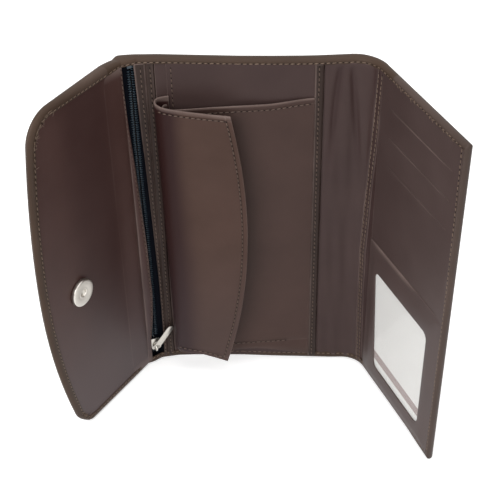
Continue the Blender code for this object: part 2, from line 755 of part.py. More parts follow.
def bail_mesh(name):
    """Wire arch on the slider's front plate, for the puller's eye."""
    base = SLIDER_FRONT + SLIDER_PLATE / 2
    crown = SLIDER_FRONT - BAIL_RISE
    quarter = math.pi / 2
    upper = (BAIL_FOOT + BAIL_HEIGHT - BAIL_ROUNDING, crown + BAIL_ROUNDING)
    lower = (BAIL_FOOT + BAIL_ROUNDING, crown + BAIL_ROUNDING)
    path = [(BAIL_FOOT + BAIL_HEIGHT, base)]
    path += arc_points(upper, BAIL_ROUNDING, 0.0, -quarter, BAIL_STEPS)
    path += arc_points(lower, BAIL_ROUNDING, -quarter, -2 * quarter, BAIL_STEPS)
    path += [(BAIL_FOOT, base)]
    curve = bpy.data.curves.new(name, "CURVE")
    curve.dimensions = "3D"
    curve.bevel_depth = BAIL_WIRE_RADIUS
    curve.bevel_resolution = 2
    curve.use_fill_caps = True
    spline = curve.splines.new("POLY")
    spline.points.add(len(path) - 1)
    for place, (height, depth) in zip(spline.points, path):
        place.co = (0.0, depth, height, 1.0)
    item = bpy.data.objects.new(name, curve)
    bpy.context.scene.collection.objects.link(item)
    bpy.context.view_layer.update()
    evaluated = item.evaluated_get(bpy.context.evaluated_depsgraph_get())
    mesh = bpy.data.meshes.new_from_object(evaluated)
    bpy.data.objects.remove(item, do_unlink=True)
    bpy.data.curves.remove(curve)
    work = bmesh.new()
    work.from_mesh(mesh)
    bmesh.ops.remove_doubles(work, verts=work.verts, dist=WELD_DISTANCE)
    bmesh.ops.recalc_face_normals(work, faces=work.faces)
    work.to_mesh(mesh)
    work.free()
    return mesh


def make_puller():
    """Flat tapered tab with a round eye, standing up the zip and leaning off it."""
    frame = empty("puller_axis_frame", Vector((ZIP_MIDDLE, PULLER_AXIS_DEPTH)), 0.0, zip_frame)
    frame.location.z = PULLER_AXIS_HEIGHT
    frame.rotation_euler = (PULLER_LEAN, PULLER_YAW, 0.0)
    eye = (0.0, PULLER_EYE_MIDDLE_RADIUS)
    neck = math.asin(min(PULLER_WIDTH / 2 / PULLER_EYE_RADIUS, 1.0))
    start = math.pi / 2 + neck
    end = 2.5 * math.pi - neck
    outline = arc_points(eye, PULLER_EYE_RADIUS, start, end, 2 * CORNER_STEPS)
    tip_radius = PULLER_TIP_WIDTH / 2
    tip = PULLER_LENGTH - (PULLER_EYE_RADIUS - PULLER_EYE_MIDDLE_RADIUS)
    outline += arc_points((0.0, tip - tip_radius), tip_radius, 0.0, math.pi, CORNER_STEPS)
    hole = arc_points(eye, PULLER_EYE_HOLE_RADIUS, 0.0, 2 * math.pi, 2 * CORNER_STEPS)[:-1]
    half = PULLER_THICKNESS / 2
    mesh = plate_mesh("zip_puller", [outline, hole], -half, half)
    add_part("zip_puller", mesh, "nickel", frame, smooth=True)


# Flap
FLAP_TRIM = FOLD_TRIM


def flap_outline(inset, start):
    """The flap's outline in (distance from the fold, height), moved in by an inset on three sides."""
    half = PANEL_HEIGHT / 2
    edge_centre = FLAP_WIDTH - FLAP_EDGE_RADIUS
    corner_height = half - FLAP_CORNER_RADIUS
    reach = math.sqrt(
        (FLAP_EDGE_RADIUS - FLAP_CORNER_RADIUS) ** 2 - corner_height**2
    )
    corner_x = edge_centre + reach
    swing = math.atan2(corner_height, reach)
    radius = FLAP_CORNER_RADIUS - inset
    edge_radius = FLAP_EDGE_RADIUS - inset
    points = [(start, inset - half)]
    points += arc_points(
        (corner_x, -corner_height), radius, -math.pi / 2, -swing, CORNER_STEPS
    )
    edge = arc_points((edge_centre, 0.0), edge_radius, -swing, swing, FLAP_EDGE_STEPS)
    points += edge[1:-1]
    points += arc_points((corner_x, corner_height), radius, swing, math.pi / 2, CORNER_STEPS)
    points += [(start, half - inset)]
    return [(-x, half + z) for x, z in points]


def circle_outline(centre, radius):
    return arc_points(centre, radius, 0.0, 2 * math.pi, ROUND_STEPS)[:-1]


def prong_slots(centre):
    half_width = PRONG_WIDTH / 2 + PRONG_GAP
    half_thickness = PRONG_THICKNESS / 2 + PRONG_GAP
    slots = []
    for side in (-1.0, 1.0):
        x = centre[0] + side * PRONG_FROM_MIDDLE
        slots.append(
            block(
                x - half_thickness,
                x + half_thickness,
                centre[1] - half_width,
                centre[1] + half_width,
            )
        )
    return slots


def make_flap():
    place = (-SNAP_FROM_FOLD, SNAP_HEIGHT)
    cover = plate_mesh("flap_cover", [flap_outline(0.0, FLAP_TRIM)], RIM_SET_BACK, FLAP_DEPTH)
    part = add_part("flap_cover", cover, "cover_leather", flap_frame)
    hollow = plate_mesh(
        "flap_cover_hollow",
        [flap_outline(COVER_THICKNESS, FLAP_TRIM - CUTTER_OVERRUN)],
        RIM_SET_BACK - CUTTER_OVERRUN,
        FLAP_DEPTH - COVER_THICKNESS,
    )
    boolean(part, add_cutter("flap_cover_hollow", hollow, flap_frame))
    lining = plate_mesh(
        "flap_lining",
        [flap_outline(LINING_INSET, SEAM_GAP)] + prong_slots(place),
        0.0,
        LINING_THICKNESS,
    )
    add_part("flap_lining", lining, "lining_leather", flap_frame)
    board = plate_mesh(
        "flap_board",
        [
            flap_outline(BOARD_INSET, FLAP_TRIM + BOARD_INSET),
            circle_outline(place, WASHER_RADIUS + SEAM_GAP),
        ],
        BOARD_FRONT_IN_FLAP,
        BOARD_FRONT_IN_FLAP + BOARD_THICKNESS,
    )
    add_part("flap_board", board, "board", flap_frame)
    make_washer("socket_washer", place, BOARD_FRONT_IN_FLAP, flap_frame)
    make_socket(place)


def make_washer(name, place, front, parent):
    mesh = plate_mesh(
        name,
        [circle_outline(place, WASHER_RADIUS)] + prong_slots(place),
        front,
        front + WASHER_THICKNESS,
    )
    add_part(name, mesh, "nickel", parent)


def make_prongs(target, name, place, front, back, parent):
    for label, side in (("first", -1.0), ("second", 1.0)):
        x = place[0] + side * PRONG_FROM_MIDDLE
        prong = box_mesh(
            f"{name}_{label}_prong",
            (x - PRONG_THICKNESS / 2, front, place[1] - PRONG_WIDTH / 2),
            (x + PRONG_THICKNESS / 2, back, place[1] + PRONG_WIDTH / 2),
        )
        boolean(target, add_cutter(f"{name}_{label}_prong", prong, parent), "UNION")


def make_socket(place):
    """Magnetic half of the snap, inside the flap: a round plate with a hole for the stud."""
    socket = turned_part(
        "snap_socket",
        [
            (0.0, SOCKET_FLOOR),
            (SOCKET_HOLE_RADIUS, SOCKET_FLOOR),
            (SOCKET_HOLE_RADIUS, SOCKET_DEPTH),
            (SNAP_RADIUS - SNAP_EDGE, SOCKET_DEPTH),
            (SNAP_RADIUS, SOCKET_DEPTH - SNAP_EDGE),
            (SNAP_RADIUS, 0.0),
            (0.0, 0.0),
        ],
        "nickel",
        flap_frame,
    )
    socket.location = (place[0], -LAYER_GAP, place[1])
    socket.rotation_euler = (math.pi / 2, 0.0, 0.0)
    make_prongs(
        socket,
        "socket",
        place,
        -LAYER_GAP - SOCKET_FLOOR / 2,
        BOARD_FRONT_IN_FLAP + BOARD_THICKNESS,
        flap_frame,
    )


def snap_place_on_card_panel():
    """Where the closed flap's snap meets the card panel, along that panel from its start."""
    snap = FLAP_AXIS + SNAP_FROM_FOLD * direction(FLAP_DIRECTION)
    snap = turned_point(snap, FLAP_AXIS, FLAP_CLOSING)
    snap = turned_point(snap, FOLD_AXIS, FOLD_CLOSING)
    snap = turned_point(snap, SPINE_AXIS, SPINE_CLOSING)
    snap = turned_point(snap, CARD_AXIS, CARD_PANEL_CLOSING)
    return (snap - CARD_START).dot(direction(-SPINE_TURN))


# Cover over the flap's fold and over the spine's bend, which bend as the panels turn
def make_bends():
    start = FLAP_AXIS - (FOLD_TRIM - SEAM_GAP) * direction(ZIP_DIRECTION)
    end = FLAP_AXIS + (FLAP_TRIM - SEAM_GAP) * direction(FLAP_DIRECTION)
    turns = [
        ZIP_STRIP_TURN + (FLAP_TURN - ZIP_STRIP_TURN) * i / SPINE_STEPS
        for i in range(SPINE_STEPS + 1)
    ]
    depths = [
        FOLD_DEPTH + (FLAP_DEPTH - FOLD_DEPTH) * i / SPINE_STEPS for i in range(SPINE_STEPS + 1)
    ]
    outer = [
        start + FOLD_DEPTH * direction(ZIP_STRIP_TURN + math.pi / 2),
        *[FLAP_AXIS + d * direction(a + math.pi / 2) for a, d in zip(turns, depths)],
        end + FLAP_DEPTH * direction(FLAP_TURN + math.pi / 2),
    ]
    inner = [
        start + (FOLD_DEPTH - COVER_THICKNESS) * direction(ZIP_STRIP_TURN + math.pi / 2),
        *[
            FLAP_AXIS + (d - COVER_THICKNESS) * direction(a + math.pi / 2)
            for a, d in zip(turns, depths)
        ],
        end + (FLAP_DEPTH - COVER_THICKNESS) * direction(FLAP_TURN + math.pi / 2),
    ]
    outline = [tuple(p) for p in outer + inner[::-1]]
    mesh = wall_mesh("flap_fold_bend", outline, RIM_SET_BACK, PANEL_HEIGHT - RIM_SET_BACK)
    add_part("flap_fold_bend", mesh, "cover_leather", strip_frame)
    spread = SPINE_COVER_TRIM - SEAM_GAP / (SPINE_INNER_RADIUS + CENTRE_DEPTH)
    middle = SPINE_TURN / 2
    outline = spine_band(
        middle - spread, middle + spread, lambda depth: depth - COVER_THICKNESS, lambda depth: depth
    )
    mesh = wall_mesh("spine_bend", outline, RIM_SET_BACK, PANEL_HEIGHT - RIM_SET_BACK)
    add_part("spine_bend", mesh, "cover_leather", spine_plan_frame)


# Spine
def spine_depth(turn):
    """Depth of the spine, which thins from the centre panel's to the card panel's."""
    share = min(max(turn / SPINE_TURN, 0.0), 1.0)
    return CENTRE_DEPTH + (CARD_PANEL_DEPTH - CENTRE_DEPTH) * share


# Angles that stay clear of the bend's middle, so that the spine can open flat
SPINE_COVER_TRIM = (CENTRE_DEPTH * math.tan(SPINE_TURN / 2) + SEAM_GAP) / (
    SPINE_INNER_RADIUS + CENTRE_DEPTH
)
SPINE_LINING_TRIM = (LINING_THICKNESS * math.tan(SPINE_TURN / 2) + SEAM_GAP / 2) / (
    SPINE_INNER_RADIUS + LINING_THICKNESS
)


def spine_band(start, end, front, back, lead=None, tail=None):
    """Outline in plan of a band round the spine's curve, with straight ends where they are given."""
    turns = [start + (end - start) * i / SPINE_STEPS for i in range(SPINE_STEPS + 1)]
    front_side = [spine_point(a, front(spine_depth(a))) for a in turns]
    back_side = [spine_point(a, back(spine_depth(a))) for a in turns]
    if lead is not None:
        front_side.insert(0, Vector((lead, front(CENTRE_DEPTH))))
        back_side.insert(0, Vector((lead, back(CENTRE_DEPTH))))
    if tail is not None:
        front_side.append(outer_point(CARD_START, tail, front(CARD_PANEL_DEPTH), -SPINE_TURN))
        back_side.append(outer_point(CARD_START, tail, back(CARD_PANEL_DEPTH), -SPINE_TURN))
    return [tuple(p) for p in front_side + back_side[::-1]]


def make_spine():
    start = CENTRE_WIDTH + SEAM_GAP / 2
    end = SPINE_TURN / 2 - SPINE_COVER_TRIM
    beyond = CUTTER_OVERRUN / (SPINE_INNER_RADIUS + CENTRE_DEPTH)
    shell_cover(
        "spine_cover",
        spine_plan_frame,
        spine_band(0.0, end, lambda depth: RIM_SET_BACK, lambda depth: depth, lead=start),
        spine_band(
            0.0,
            end + beyond,
            lambda depth: RIM_SET_BACK - CUTTER_OVERRUN,
            lambda depth: depth - COVER_THICKNESS,
            lead=start - CUTTER_OVERRUN,
        ),
    )
    low, high = lining_levels()
    lining = wall_mesh(
        "spine_lining",
        spine_band(
            0.0,
            SPINE_TURN / 2 - SPINE_LINING_TRIM,
            lambda depth: 0.0,
            lambda depth: LINING_THICKNESS,
            lead=start,
        ),
        low,
        high,
    )
    add_part("spine_lining", lining, "lining_leather", spine_plan_frame)


# Card panel
def make_card_panel():
    start = SPINE_TURN / 2 + SPINE_COVER_TRIM
    beyond = CUTTER_OVERRUN / (SPINE_INNER_RADIUS + CENTRE_DEPTH)
    cover = shell_cover(
        "card_panel_cover",
        card_plan_frame,
        spine_band(
            start, SPINE_TURN, lambda depth: RIM_SET_BACK, lambda depth: depth, tail=CARD_PANEL_WIDTH
        ),
        spine_band(
            start - beyond,
            SPINE_TURN,
            lambda depth: RIM_SET_BACK - CUTTER_OVERRUN,
            lambda depth: depth - COVER_THICKNESS,
            tail=CARD_PANEL_WIDTH - COVER_THICKNESS,
        ),
    )
    low, high = lining_levels()
    side_lining = wall_mesh(
        "card_side_lining",
        spine_band(
            SPINE_TURN / 2 + SPINE_LINING_TRIM,
            SPINE_TURN,
            lambda depth: 0.0,
            lambda depth: LINING_THICKNESS,
        ),
        low,
        high,
    )
    add_part("card_side_lining", side_lining, "lining_leather", card_plan_frame)
    right = CARD_PANEL_WIDTH - LINING_INSET
    slits = [
        block(
            SLIT_START,
            SLIT_START + SLIT_LENGTH,
            PANEL_HEIGHT - drop - SLIT_WIDTH / 2,
            PANEL_HEIGHT - drop + SLIT_WIDTH / 2,
        )
        for drop in SLIT_DROPS
    ]
    lining = plate_mesh(
        "card_lining", [block(SEAM_GAP, right, low, high)] + slits, 0.0, LINING_THICKNESS
    )
    add_part("card_lining", lining, "lining_leather", card_frame)
    cloth_front = LINING_THICKNESS + LAYER_GAP
    cloth = box_mesh(
        "card_pocket_cloth",
        (BOARD_INSET, cloth_front, BOARD_INSET),
        (CARD_PANEL_WIDTH - BOARD_INSET, cloth_front + CLOTH_THICKNESS, high - BOARD_INSET),
    )
    add_part("card_pocket_cloth", cloth, "pocket_cloth", card_frame)
    place = (snap_place_on_card_panel(), SNAP_HEIGHT)
    board = plate_mesh(
        "card_board",
        [
            block(
                BOARD_INSET, CARD_PANEL_WIDTH - BOARD_INSET, BOARD_INSET, PANEL_HEIGHT - BOARD_INSET
            ),
            circle_outline(place, WASHER_RADIUS + SEAM_GAP),
        ],
        BOARD_FRONT_IN_CARD_PANEL,
        BOARD_FRONT_IN_CARD_PANEL + BOARD_THICKNESS,
    )
    add_part("card_board", board, "board", card_frame)
    make_stud(cover, place)
    make_window_pocket()


def make_stud(cover, place):
    """Other half of the snap, on the card panel's outer face."""
    stud = turned_part(
        "snap_stud",
        [
            (0.0, STUD_PLATE + STUD_LENGTH),
            (STUD_RADIUS - SNAP_EDGE, STUD_PLATE + STUD_LENGTH),
            (STUD_RADIUS, STUD_PLATE + STUD_LENGTH - SNAP_EDGE),
            (STUD_RADIUS, STUD_PLATE),
            (SNAP_RADIUS - SNAP_EDGE, STUD_PLATE),
            (SNAP_RADIUS, STUD_PLATE - SNAP_EDGE),
            (SNAP_RADIUS, 0.0),
            (0.0, 0.0),
        ],
        "nickel",
        card_frame,
    )
    back = CARD_PANEL_DEPTH + LAYER_GAP
    stud.location = (place[0], back, place[1])
    stud.rotation_euler = (-math.pi / 2, 0.0, 0.0)
    make_prongs(
        stud, "stud", place, BOARD_FRONT_IN_CARD_PANEL, back + STUD_PLATE / 2, card_frame
    )
    washer_front = BOARD_FRONT_IN_CARD_PANEL + BOARD_THICKNESS - WASHER_THICKNESS
    make_washer("stud_washer", place, washer_front, card_frame)
    for number, slot in enumerate(prong_slots(place)):
        name = f"cover_prong_slot_{number}"
        mesh = plate_mesh(
            name, [slot], BOARD_FRONT_IN_CARD_PANEL, CARD_PANEL_DEPTH + CUTTER_OVERRUN
        )
        boolean(cover, add_cutter(name, mesh, card_frame))


def make_window_pocket():
    """The lowest card pocket, with a window of clear film and a card in it."""
    low, _ = lining_levels()
    card_back = -CARD_GAP
    card_front = card_back - CARD_THICKNESS
    film_front = card_front - CARD_GAP - FILM_THICKNESS
    pocket_back = film_front - CARD_GAP
    pocket_front = pocket_back - WINDOW_POCKET_THICKNESS
    left = SEAM_GAP
    right = left + WINDOW_POCKET_WIDTH
    window = round_rectangle(
        WINDOW_START,
        WINDOW_START + WINDOW_WIDTH,
        WINDOW_SILL,
        WINDOW_SILL + WINDOW_HEIGHT,
        WINDOW_CORNER_RADIUS,
    )
    outline = block(left, right, low, WINDOW_POCKET_HEIGHT)
    pocket = plate_mesh("window_pocket", [outline, window], pocket_front, -LAYER_GAP)
    part = add_part("window_pocket", pocket, "lining_leather", card_frame)
    seam = WINDOW_POCKET_SEAM
    card_left = left + (WINDOW_POCKET_WIDTH - CARD_WIDTH) / 2
    room = plate_mesh(
        "window_pocket_room",
        [
            block(
                card_left - seam / 2,
                card_left + CARD_WIDTH + seam / 2,
                low + seam,
                WINDOW_POCKET_HEIGHT + CUTTER_OVERRUN,
            )
        ],
        pocket_back,
        CUTTER_OVERRUN,
    )
    boolean(part, add_cutter("window_pocket_room", room, card_frame))
    film = box_mesh(
        "window_film",
        (WINDOW_START - FILM_MARGIN, film_front, WINDOW_SILL - FILM_MARGIN),
        (
            WINDOW_START + WINDOW_WIDTH + FILM_MARGIN,
            film_front + FILM_THICKNESS,
            WINDOW_SILL + WINDOW_HEIGHT + FILM_MARGIN,
        ),
    )
    add_part("window_film", film, "clear_film", card_frame)
    frame = empty("card_slide_frame", Vector((card_left, 0.0)), 0.0, card_frame)
    foot = low + seam + SEAM_GAP
    card = plate_mesh(
        "display_card",
        [round_rectangle(0.0, CARD_WIDTH, foot, foot + CARD_HEIGHT, CARD_CORNER_RADIUS)],
        card_front,
        card_back,
    )
    add_part("display_card", card, "card", frame)


make_centre_panel()
make_pockets()
make_leaf()
make_fold()
make_zip()
make_flap()
make_spine()
make_card_panel()
make_bends()
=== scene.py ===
import math
import random

import bmesh
import bpy
from mathutils import Matrix, Vector


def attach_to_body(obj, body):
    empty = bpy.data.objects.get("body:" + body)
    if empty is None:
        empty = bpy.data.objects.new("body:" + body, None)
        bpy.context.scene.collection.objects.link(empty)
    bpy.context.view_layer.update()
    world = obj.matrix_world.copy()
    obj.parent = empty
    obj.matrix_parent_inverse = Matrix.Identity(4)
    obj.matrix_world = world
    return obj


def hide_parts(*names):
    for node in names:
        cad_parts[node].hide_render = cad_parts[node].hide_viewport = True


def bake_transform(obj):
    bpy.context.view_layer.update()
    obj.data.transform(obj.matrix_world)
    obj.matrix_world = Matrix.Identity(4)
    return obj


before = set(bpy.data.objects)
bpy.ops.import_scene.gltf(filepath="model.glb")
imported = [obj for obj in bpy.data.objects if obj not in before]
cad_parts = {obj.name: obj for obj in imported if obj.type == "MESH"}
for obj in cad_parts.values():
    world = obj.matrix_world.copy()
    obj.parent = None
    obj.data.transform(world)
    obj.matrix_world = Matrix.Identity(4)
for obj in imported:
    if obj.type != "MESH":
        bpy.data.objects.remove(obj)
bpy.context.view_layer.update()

# The wallet stands open on its long edges. Each panel has a frame of its own, in
# millimetres: x along the panel, y from its inner face to its outer face, z up.
mm = 0.001
walletHeight = 190.0
zipTurn, flapTurn, cardTurn = 24.0, 57.5, 67.5  # degrees out of the centre panel's plane
panels = {  # corner in plan (m), turn (degrees)
    "centre": ((-0.0471939, 0.0350809), 0.0),
    "zip": ((-0.0543195, 0.0319083), zipTurn),
    "flap": ((-0.0543195, 0.0319083), flapTurn),
    "card": ((0.0647404, 0.0264384), -cardTurn),
}
depths = {"centre": 5.0, "flap": 3.1, "card": 3.6}
foldLines = {"spine": 86.0, "zipWidth": 7.8, "spineFlat": 13.0, "spineRadius": 14.0}


def panelMatrix(panel):
    corner, turn = panels[panel]
    return (
        Matrix.Translation((corner[0], corner[1], 0.0))
        @ Matrix.Rotation(math.radians(turn), 4, "Z")
        @ Matrix.Scale(mm, 4)
    )


def placeOn(panel, x, y, z):
    return tuple(panelMatrix(panel) @ Vector((x, y, z)))


def heading(degrees):
    return Vector((math.cos(math.radians(degrees)), math.sin(math.radians(degrees))))


def addObject(name, data):
    item = bpy.data.objects.new(name, data)
    bpy.context.scene.collection.objects.link(item)
    return item


def meshFrom(name, work):
    mesh = bpy.data.meshes.new(name)
    work.to_mesh(mesh)
    work.free()
    return mesh


# camera, light and floor
cameraSet = {
    "place": (0.00615, -0.42450, 0.44388),
    "azimuth": -0.364,
    "pitch": 38.519,
    "roll": 0.912,
    "lens": 81.60,
    "sensor": 36.0,
}


def makeCamera():
    data = bpy.data.cameras.new("camera")
    data.lens, data.sensor_width = cameraSet["lens"], cameraSet["sensor"]
    data.clip_start, data.clip_end = 0.01, 20.0
    camera = addObject("camera", data)
    az, pitch, roll = (math.radians(cameraSet[k]) for k in ("azimuth", "pitch", "roll"))
    ahead = Vector((math.sin(az) * math.cos(pitch), math.cos(az) * math.cos(pitch), -math.sin(pitch)))
    right = Vector((math.cos(az), -math.sin(az), 0.0))
    up = right.cross(ahead)
    across = math.cos(roll) * right - math.sin(roll) * up
    above = math.sin(roll) * right + math.cos(roll) * up
    turn = Matrix((across, above, -ahead)).transposed().to_4x4()
    camera.matrix_world = Matrix.Translation(cameraSet["place"]) @ turn
    bpy.context.scene.camera = camera


lamps = {  # place, aim, size (m), power (W)
    "overhead": ((0.10, -0.05, 1.60), (0.0, 0.02, 0.08), 1.3, 12.0),
    "left": ((-0.80, -1.10, 0.95), (0.0, 0.03, 0.08), 0.9, 11.5),
    "front": ((0.10, -1.30, 0.95), (0.0, 0.03, 0.08), 1.2, 3.8),
}
worldLight = 0.45


def makeLights():
    for name, (place, aim, size, power) in lamps.items():
        data = bpy.data.lights.new(name, "AREA")
        data.shape, data.size, data.energy = "SQUARE", size, power
        lamp = addObject(name, data)
        lamp.location = place
        lamp.rotation_euler = (Vector(aim) - Vector(place)).to_track_quat("-Z", "Y").to_euler()
    world = bpy.data.worlds.new("studio")
    bpy.context.scene.world = world
    world.use_nodes = True
    tree = world.node_tree
    background = tree.nodes["Background"]
    background.inputs["Color"].default_value = (1.0, 1.0, 1.0, 1.0)
    tree.links.new(mapRange(tree, seenRays(tree), worldLight, 1.0), background.inputs["Strength"])


def addMath(tree, operation, first, second):
    node = tree.nodes.new("ShaderNodeMath")
    node.operation = operation
    for socket, value in zip(node.inputs, (first, second)):
        if isinstance(value, (int, float)):
            socket.default_value = value
        else:
            tree.links.new(value, socket)
    return node.outputs["Value"]


def mapRange(tree, value, low, high, fromLow=0.0, fromHigh=1.0):
    node = tree.nodes.new("ShaderNodeMapRange")
    for name, number in (("From Min", fromLow), ("From Max", fromHigh), ("To Min", low), ("To Max", high)):
        node.inputs[name].default_value = number
    tree.links.new(value, node.inputs["Value"])
    return node.outputs["Result"]


def seenRays(tree):
    # 1 for the rays that show the backdrop as it is, and 0 for those that light the object
    path = tree.nodes.new("ShaderNodeLightPath")
    seen = addMath(tree, "MAXIMUM", path.outputs["Is Camera Ray"], path.outputs["Is Glossy Ray"])
    return addMath(tree, "MAXIMUM", seen, path.outputs["Is Transmission Ray"])


floorSet = {"size": 6.0, "drop": 0.0002, "colour": (0.86, 0.86, 0.86), "glow": 0.52}


def makeFloor():
    work = bmesh.new()
    bmesh.ops.create_grid(work, x_segments=1, y_segments=1, size=floorSet["size"] / 2)
    mesh = meshFrom("floor", work)
    floor = addObject("floor", mesh)
    floor.location.z = -floorSet["drop"]
    material = bpy.data.materials.new("floor_white")
    material.use_nodes = True
    tree = material.node_tree
    shader = tree.nodes["Principled BSDF"]
    shader.inputs["Base Color"].default_value = (*floorSet["colour"], 1.0)
    shader.inputs["Roughness"].default_value = 0.9
    shader.inputs["Specular IOR Level"].default_value = 0.0
    shader.inputs["Emission Color"].default_value = (1.0, 1.0, 1.0, 1.0)
    glow = addMath(tree, "MULTIPLY", seenRays(tree), floorSet["glow"])
    tree.links.new(glow, shader.inputs["Emission Strength"])
    mesh.materials.append(material)


# finishes
def newGroup(name, inputs, outputs):
    group = bpy.data.node_groups.new(name, "ShaderNodeTree")
    for label, kind, value in inputs:
        socket = group.interface.new_socket(name=label, in_out="INPUT", socket_type=kind)
        if value is not None:
            socket.default_value = value
    for label, kind in outputs:
        group.interface.new_socket(name=label, in_out="OUTPUT", socket_type=kind)
    return group, group.nodes.new("NodeGroupInput"), group.nodes.new("NodeGroupOutput")


def addTexture(tree, kind, vector, scale, **settings):
    node = tree.nodes.new(kind)
    for name, value in settings.items():
        if name in node.inputs:
            node.inputs[name].default_value = value
        else:
            setattr(node, name, value)
    tree.links.new(vector, node.inputs["Vector"])
    if isinstance(scale, (int, float)):
        node.inputs["Scale"].default_value = scale
    else:
        tree.links.new(scale, node.inputs["Scale"])
    return node


grainSet = {"cells": 0.30, "fine": 0.25, "waves": 1.6, "fineScale": 2600.0, "waveScale": 75.0,
            "toneSpread": (0.30, 0.70), "roughness": (0.40, 0.54)}


def makeGrainGroup():
    # pebbled grain, slow waves in the hide and small changes of tone
    group, given, out = newGroup(
        "leatherGrain",
        [("Vector", "NodeSocketVector", None), ("Grain Scale", "NodeSocketFloat", 1300.0),
         ("Tone Scale", "NodeSocketFloat", 34.0)],
        [("Tone", "NodeSocketFloat"), ("Roughness", "NodeSocketFloat"), ("Height", "NodeSocketFloat")],
    )
    place = given.outputs["Vector"]
    cells = addTexture(group, "ShaderNodeTexVoronoi", place, given.outputs["Grain Scale"],
                       feature="SMOOTH_F1", Smoothness=0.6)
    fine = addTexture(group, "ShaderNodeTexNoise", place, grainSet["fineScale"], Detail=2.0)
    tone = addTexture(group, "ShaderNodeTexNoise", place, given.outputs["Tone Scale"], Detail=4.0,
                      Roughness=0.55)
    waves = addTexture(group, "ShaderNodeTexNoise", place, grainSet["waveScale"], Detail=1.0)
    grain = addMath(group, "MULTIPLY", cells.outputs["Distance"], grainSet["cells"])
    for texture, share in ((fine, grainSet["fine"]), (waves, grainSet["waves"])):
        grain = addMath(group, "ADD", grain, addMath(group, "MULTIPLY", texture.outputs["Fac"], share))
    group.links.new(grain, out.inputs["Height"])
    spread = mapRange(group, tone.outputs["Fac"], 0.0, 1.0, *grainSet["toneSpread"])
    group.links.new(spread, out.inputs["Tone"])
    rough = mapRange(group, tone.outputs["Fac"], *grainSet["roughness"])
    group.links.new(rough, out.inputs["Roughness"])
    return group


def makeWeaveGroup():
    # fine cloth weave from two crossed waves, with uneven yarns
    group, given, out = newGroup(
        "clothWeave",
        [("Vector", "NodeSocketVector", None), ("Yarn Scale", "NodeSocketFloat", 500.0)],
        [("Tone", "NodeSocketFloat"), ("Height", "NodeSocketFloat")],
    )
    place, yarns = given.outputs["Vector"], given.outputs["Yarn Scale"]
    waves = [
        addTexture(group, "ShaderNodeTexWave", place, yarns, bands_direction=way, Distortion=0.6)
        for way in ("X", "Z")
    ]
    height = addMath(group, "ADD", waves[0].outputs["Fac"], waves[1].outputs["Fac"])
    uneven = addTexture(group, "ShaderNodeTexNoise", place, 260.0, Detail=3.0)
    tone = addMath(group, "MULTIPLY", addMath(group, "ADD", height, uneven.outputs["Fac"]), 0.33)
    group.links.new(height, out.inputs["Height"])
    group.links.new(tone, out.inputs["Tone"])
    return group


def blankMaterial(name):
    material = bpy.data.materials.new(name)
    material.use_nodes = True
    tree = material.node_tree
    place = tree.nodes.new("ShaderNodeTexCoord").outputs["Object"]
    return material, tree, tree.nodes["Principled BSDF"], place


def mixColours(tree, share, first, second):
    # each colour is a triple or a socket
    node = tree.nodes.new("ShaderNodeMix")
    node.data_type = "RGBA"
    for socket, colour in ((node.inputs[6], first), (node.inputs[7], second)):
        if isinstance(colour, tuple):
            socket.default_value = (*colour, 1.0)
        else:
            tree.links.new(colour, socket)
    tree.links.new(share, node.inputs[0])
    return node.outputs[2]


def addBump(tree, shader, height, strength, distance):
    node = tree.nodes.new("ShaderNodeBump")
    node.inputs["Strength"].default_value = strength
    node.inputs["Distance"].default_value = distance
    tree.links.new(height, node.inputs["Height"])
    tree.links.new(node.outputs["Normal"], shader.inputs["Normal"])


leathers = {  # dark tone, light tone, relief, specular level
    "cover": ((0.048, 0.029, 0.020), (0.066, 0.041, 0.028), 0.30, 0.14),
    "lining": ((0.050, 0.028, 0.023), (0.064, 0.037, 0.031), 0.24, 0.16),
    "cardCover": ((0.052, 0.034, 0.027), (0.070, 0.046, 0.037), 0.30, 0.19),
    # the card panel's lining: the lining's leather painted greyer and paler as painted sheen, with more specular
    "cardLiningWithSheen": ((0.062, 0.040, 0.037), (0.078, 0.052, 0.048), 0.24, 0.26),
    "flapLining": ((0.056, 0.026, 0.022), (0.070, 0.035, 0.030), 0.24, 0.24),
    "spineLining": ((0.047, 0.028, 0.026), (0.060, 0.037, 0.034), 0.24, 0.16),
    "leaf": ((0.058, 0.031, 0.023), (0.074, 0.041, 0.032), 0.24, 0.14),
    "strip": ((0.026, 0.016, 0.013), (0.038, 0.024, 0.020), 0.30, 0.14),
    # needle holes: near-black beads, painted shadow
    "needleHoleShadow": ((0.006, 0.004, 0.003), (0.014, 0.009, 0.007), 0.20, 0.10),
}
# colours that the attributes mix in: pale edge wear with painted highlight, painted shade, and painted sheen (a
# painted reflection of the white floor)
wearHighlightColour = (0.190, 0.138, 0.122)
paintedShadeColour = (0.024, 0.0085, 0.0085)
paintedSheenColour = (0.150, 0.143, 0.160)
layerLimit, wearHighlightLeast, grainDepth = 0.92, 0.25, 0.00025


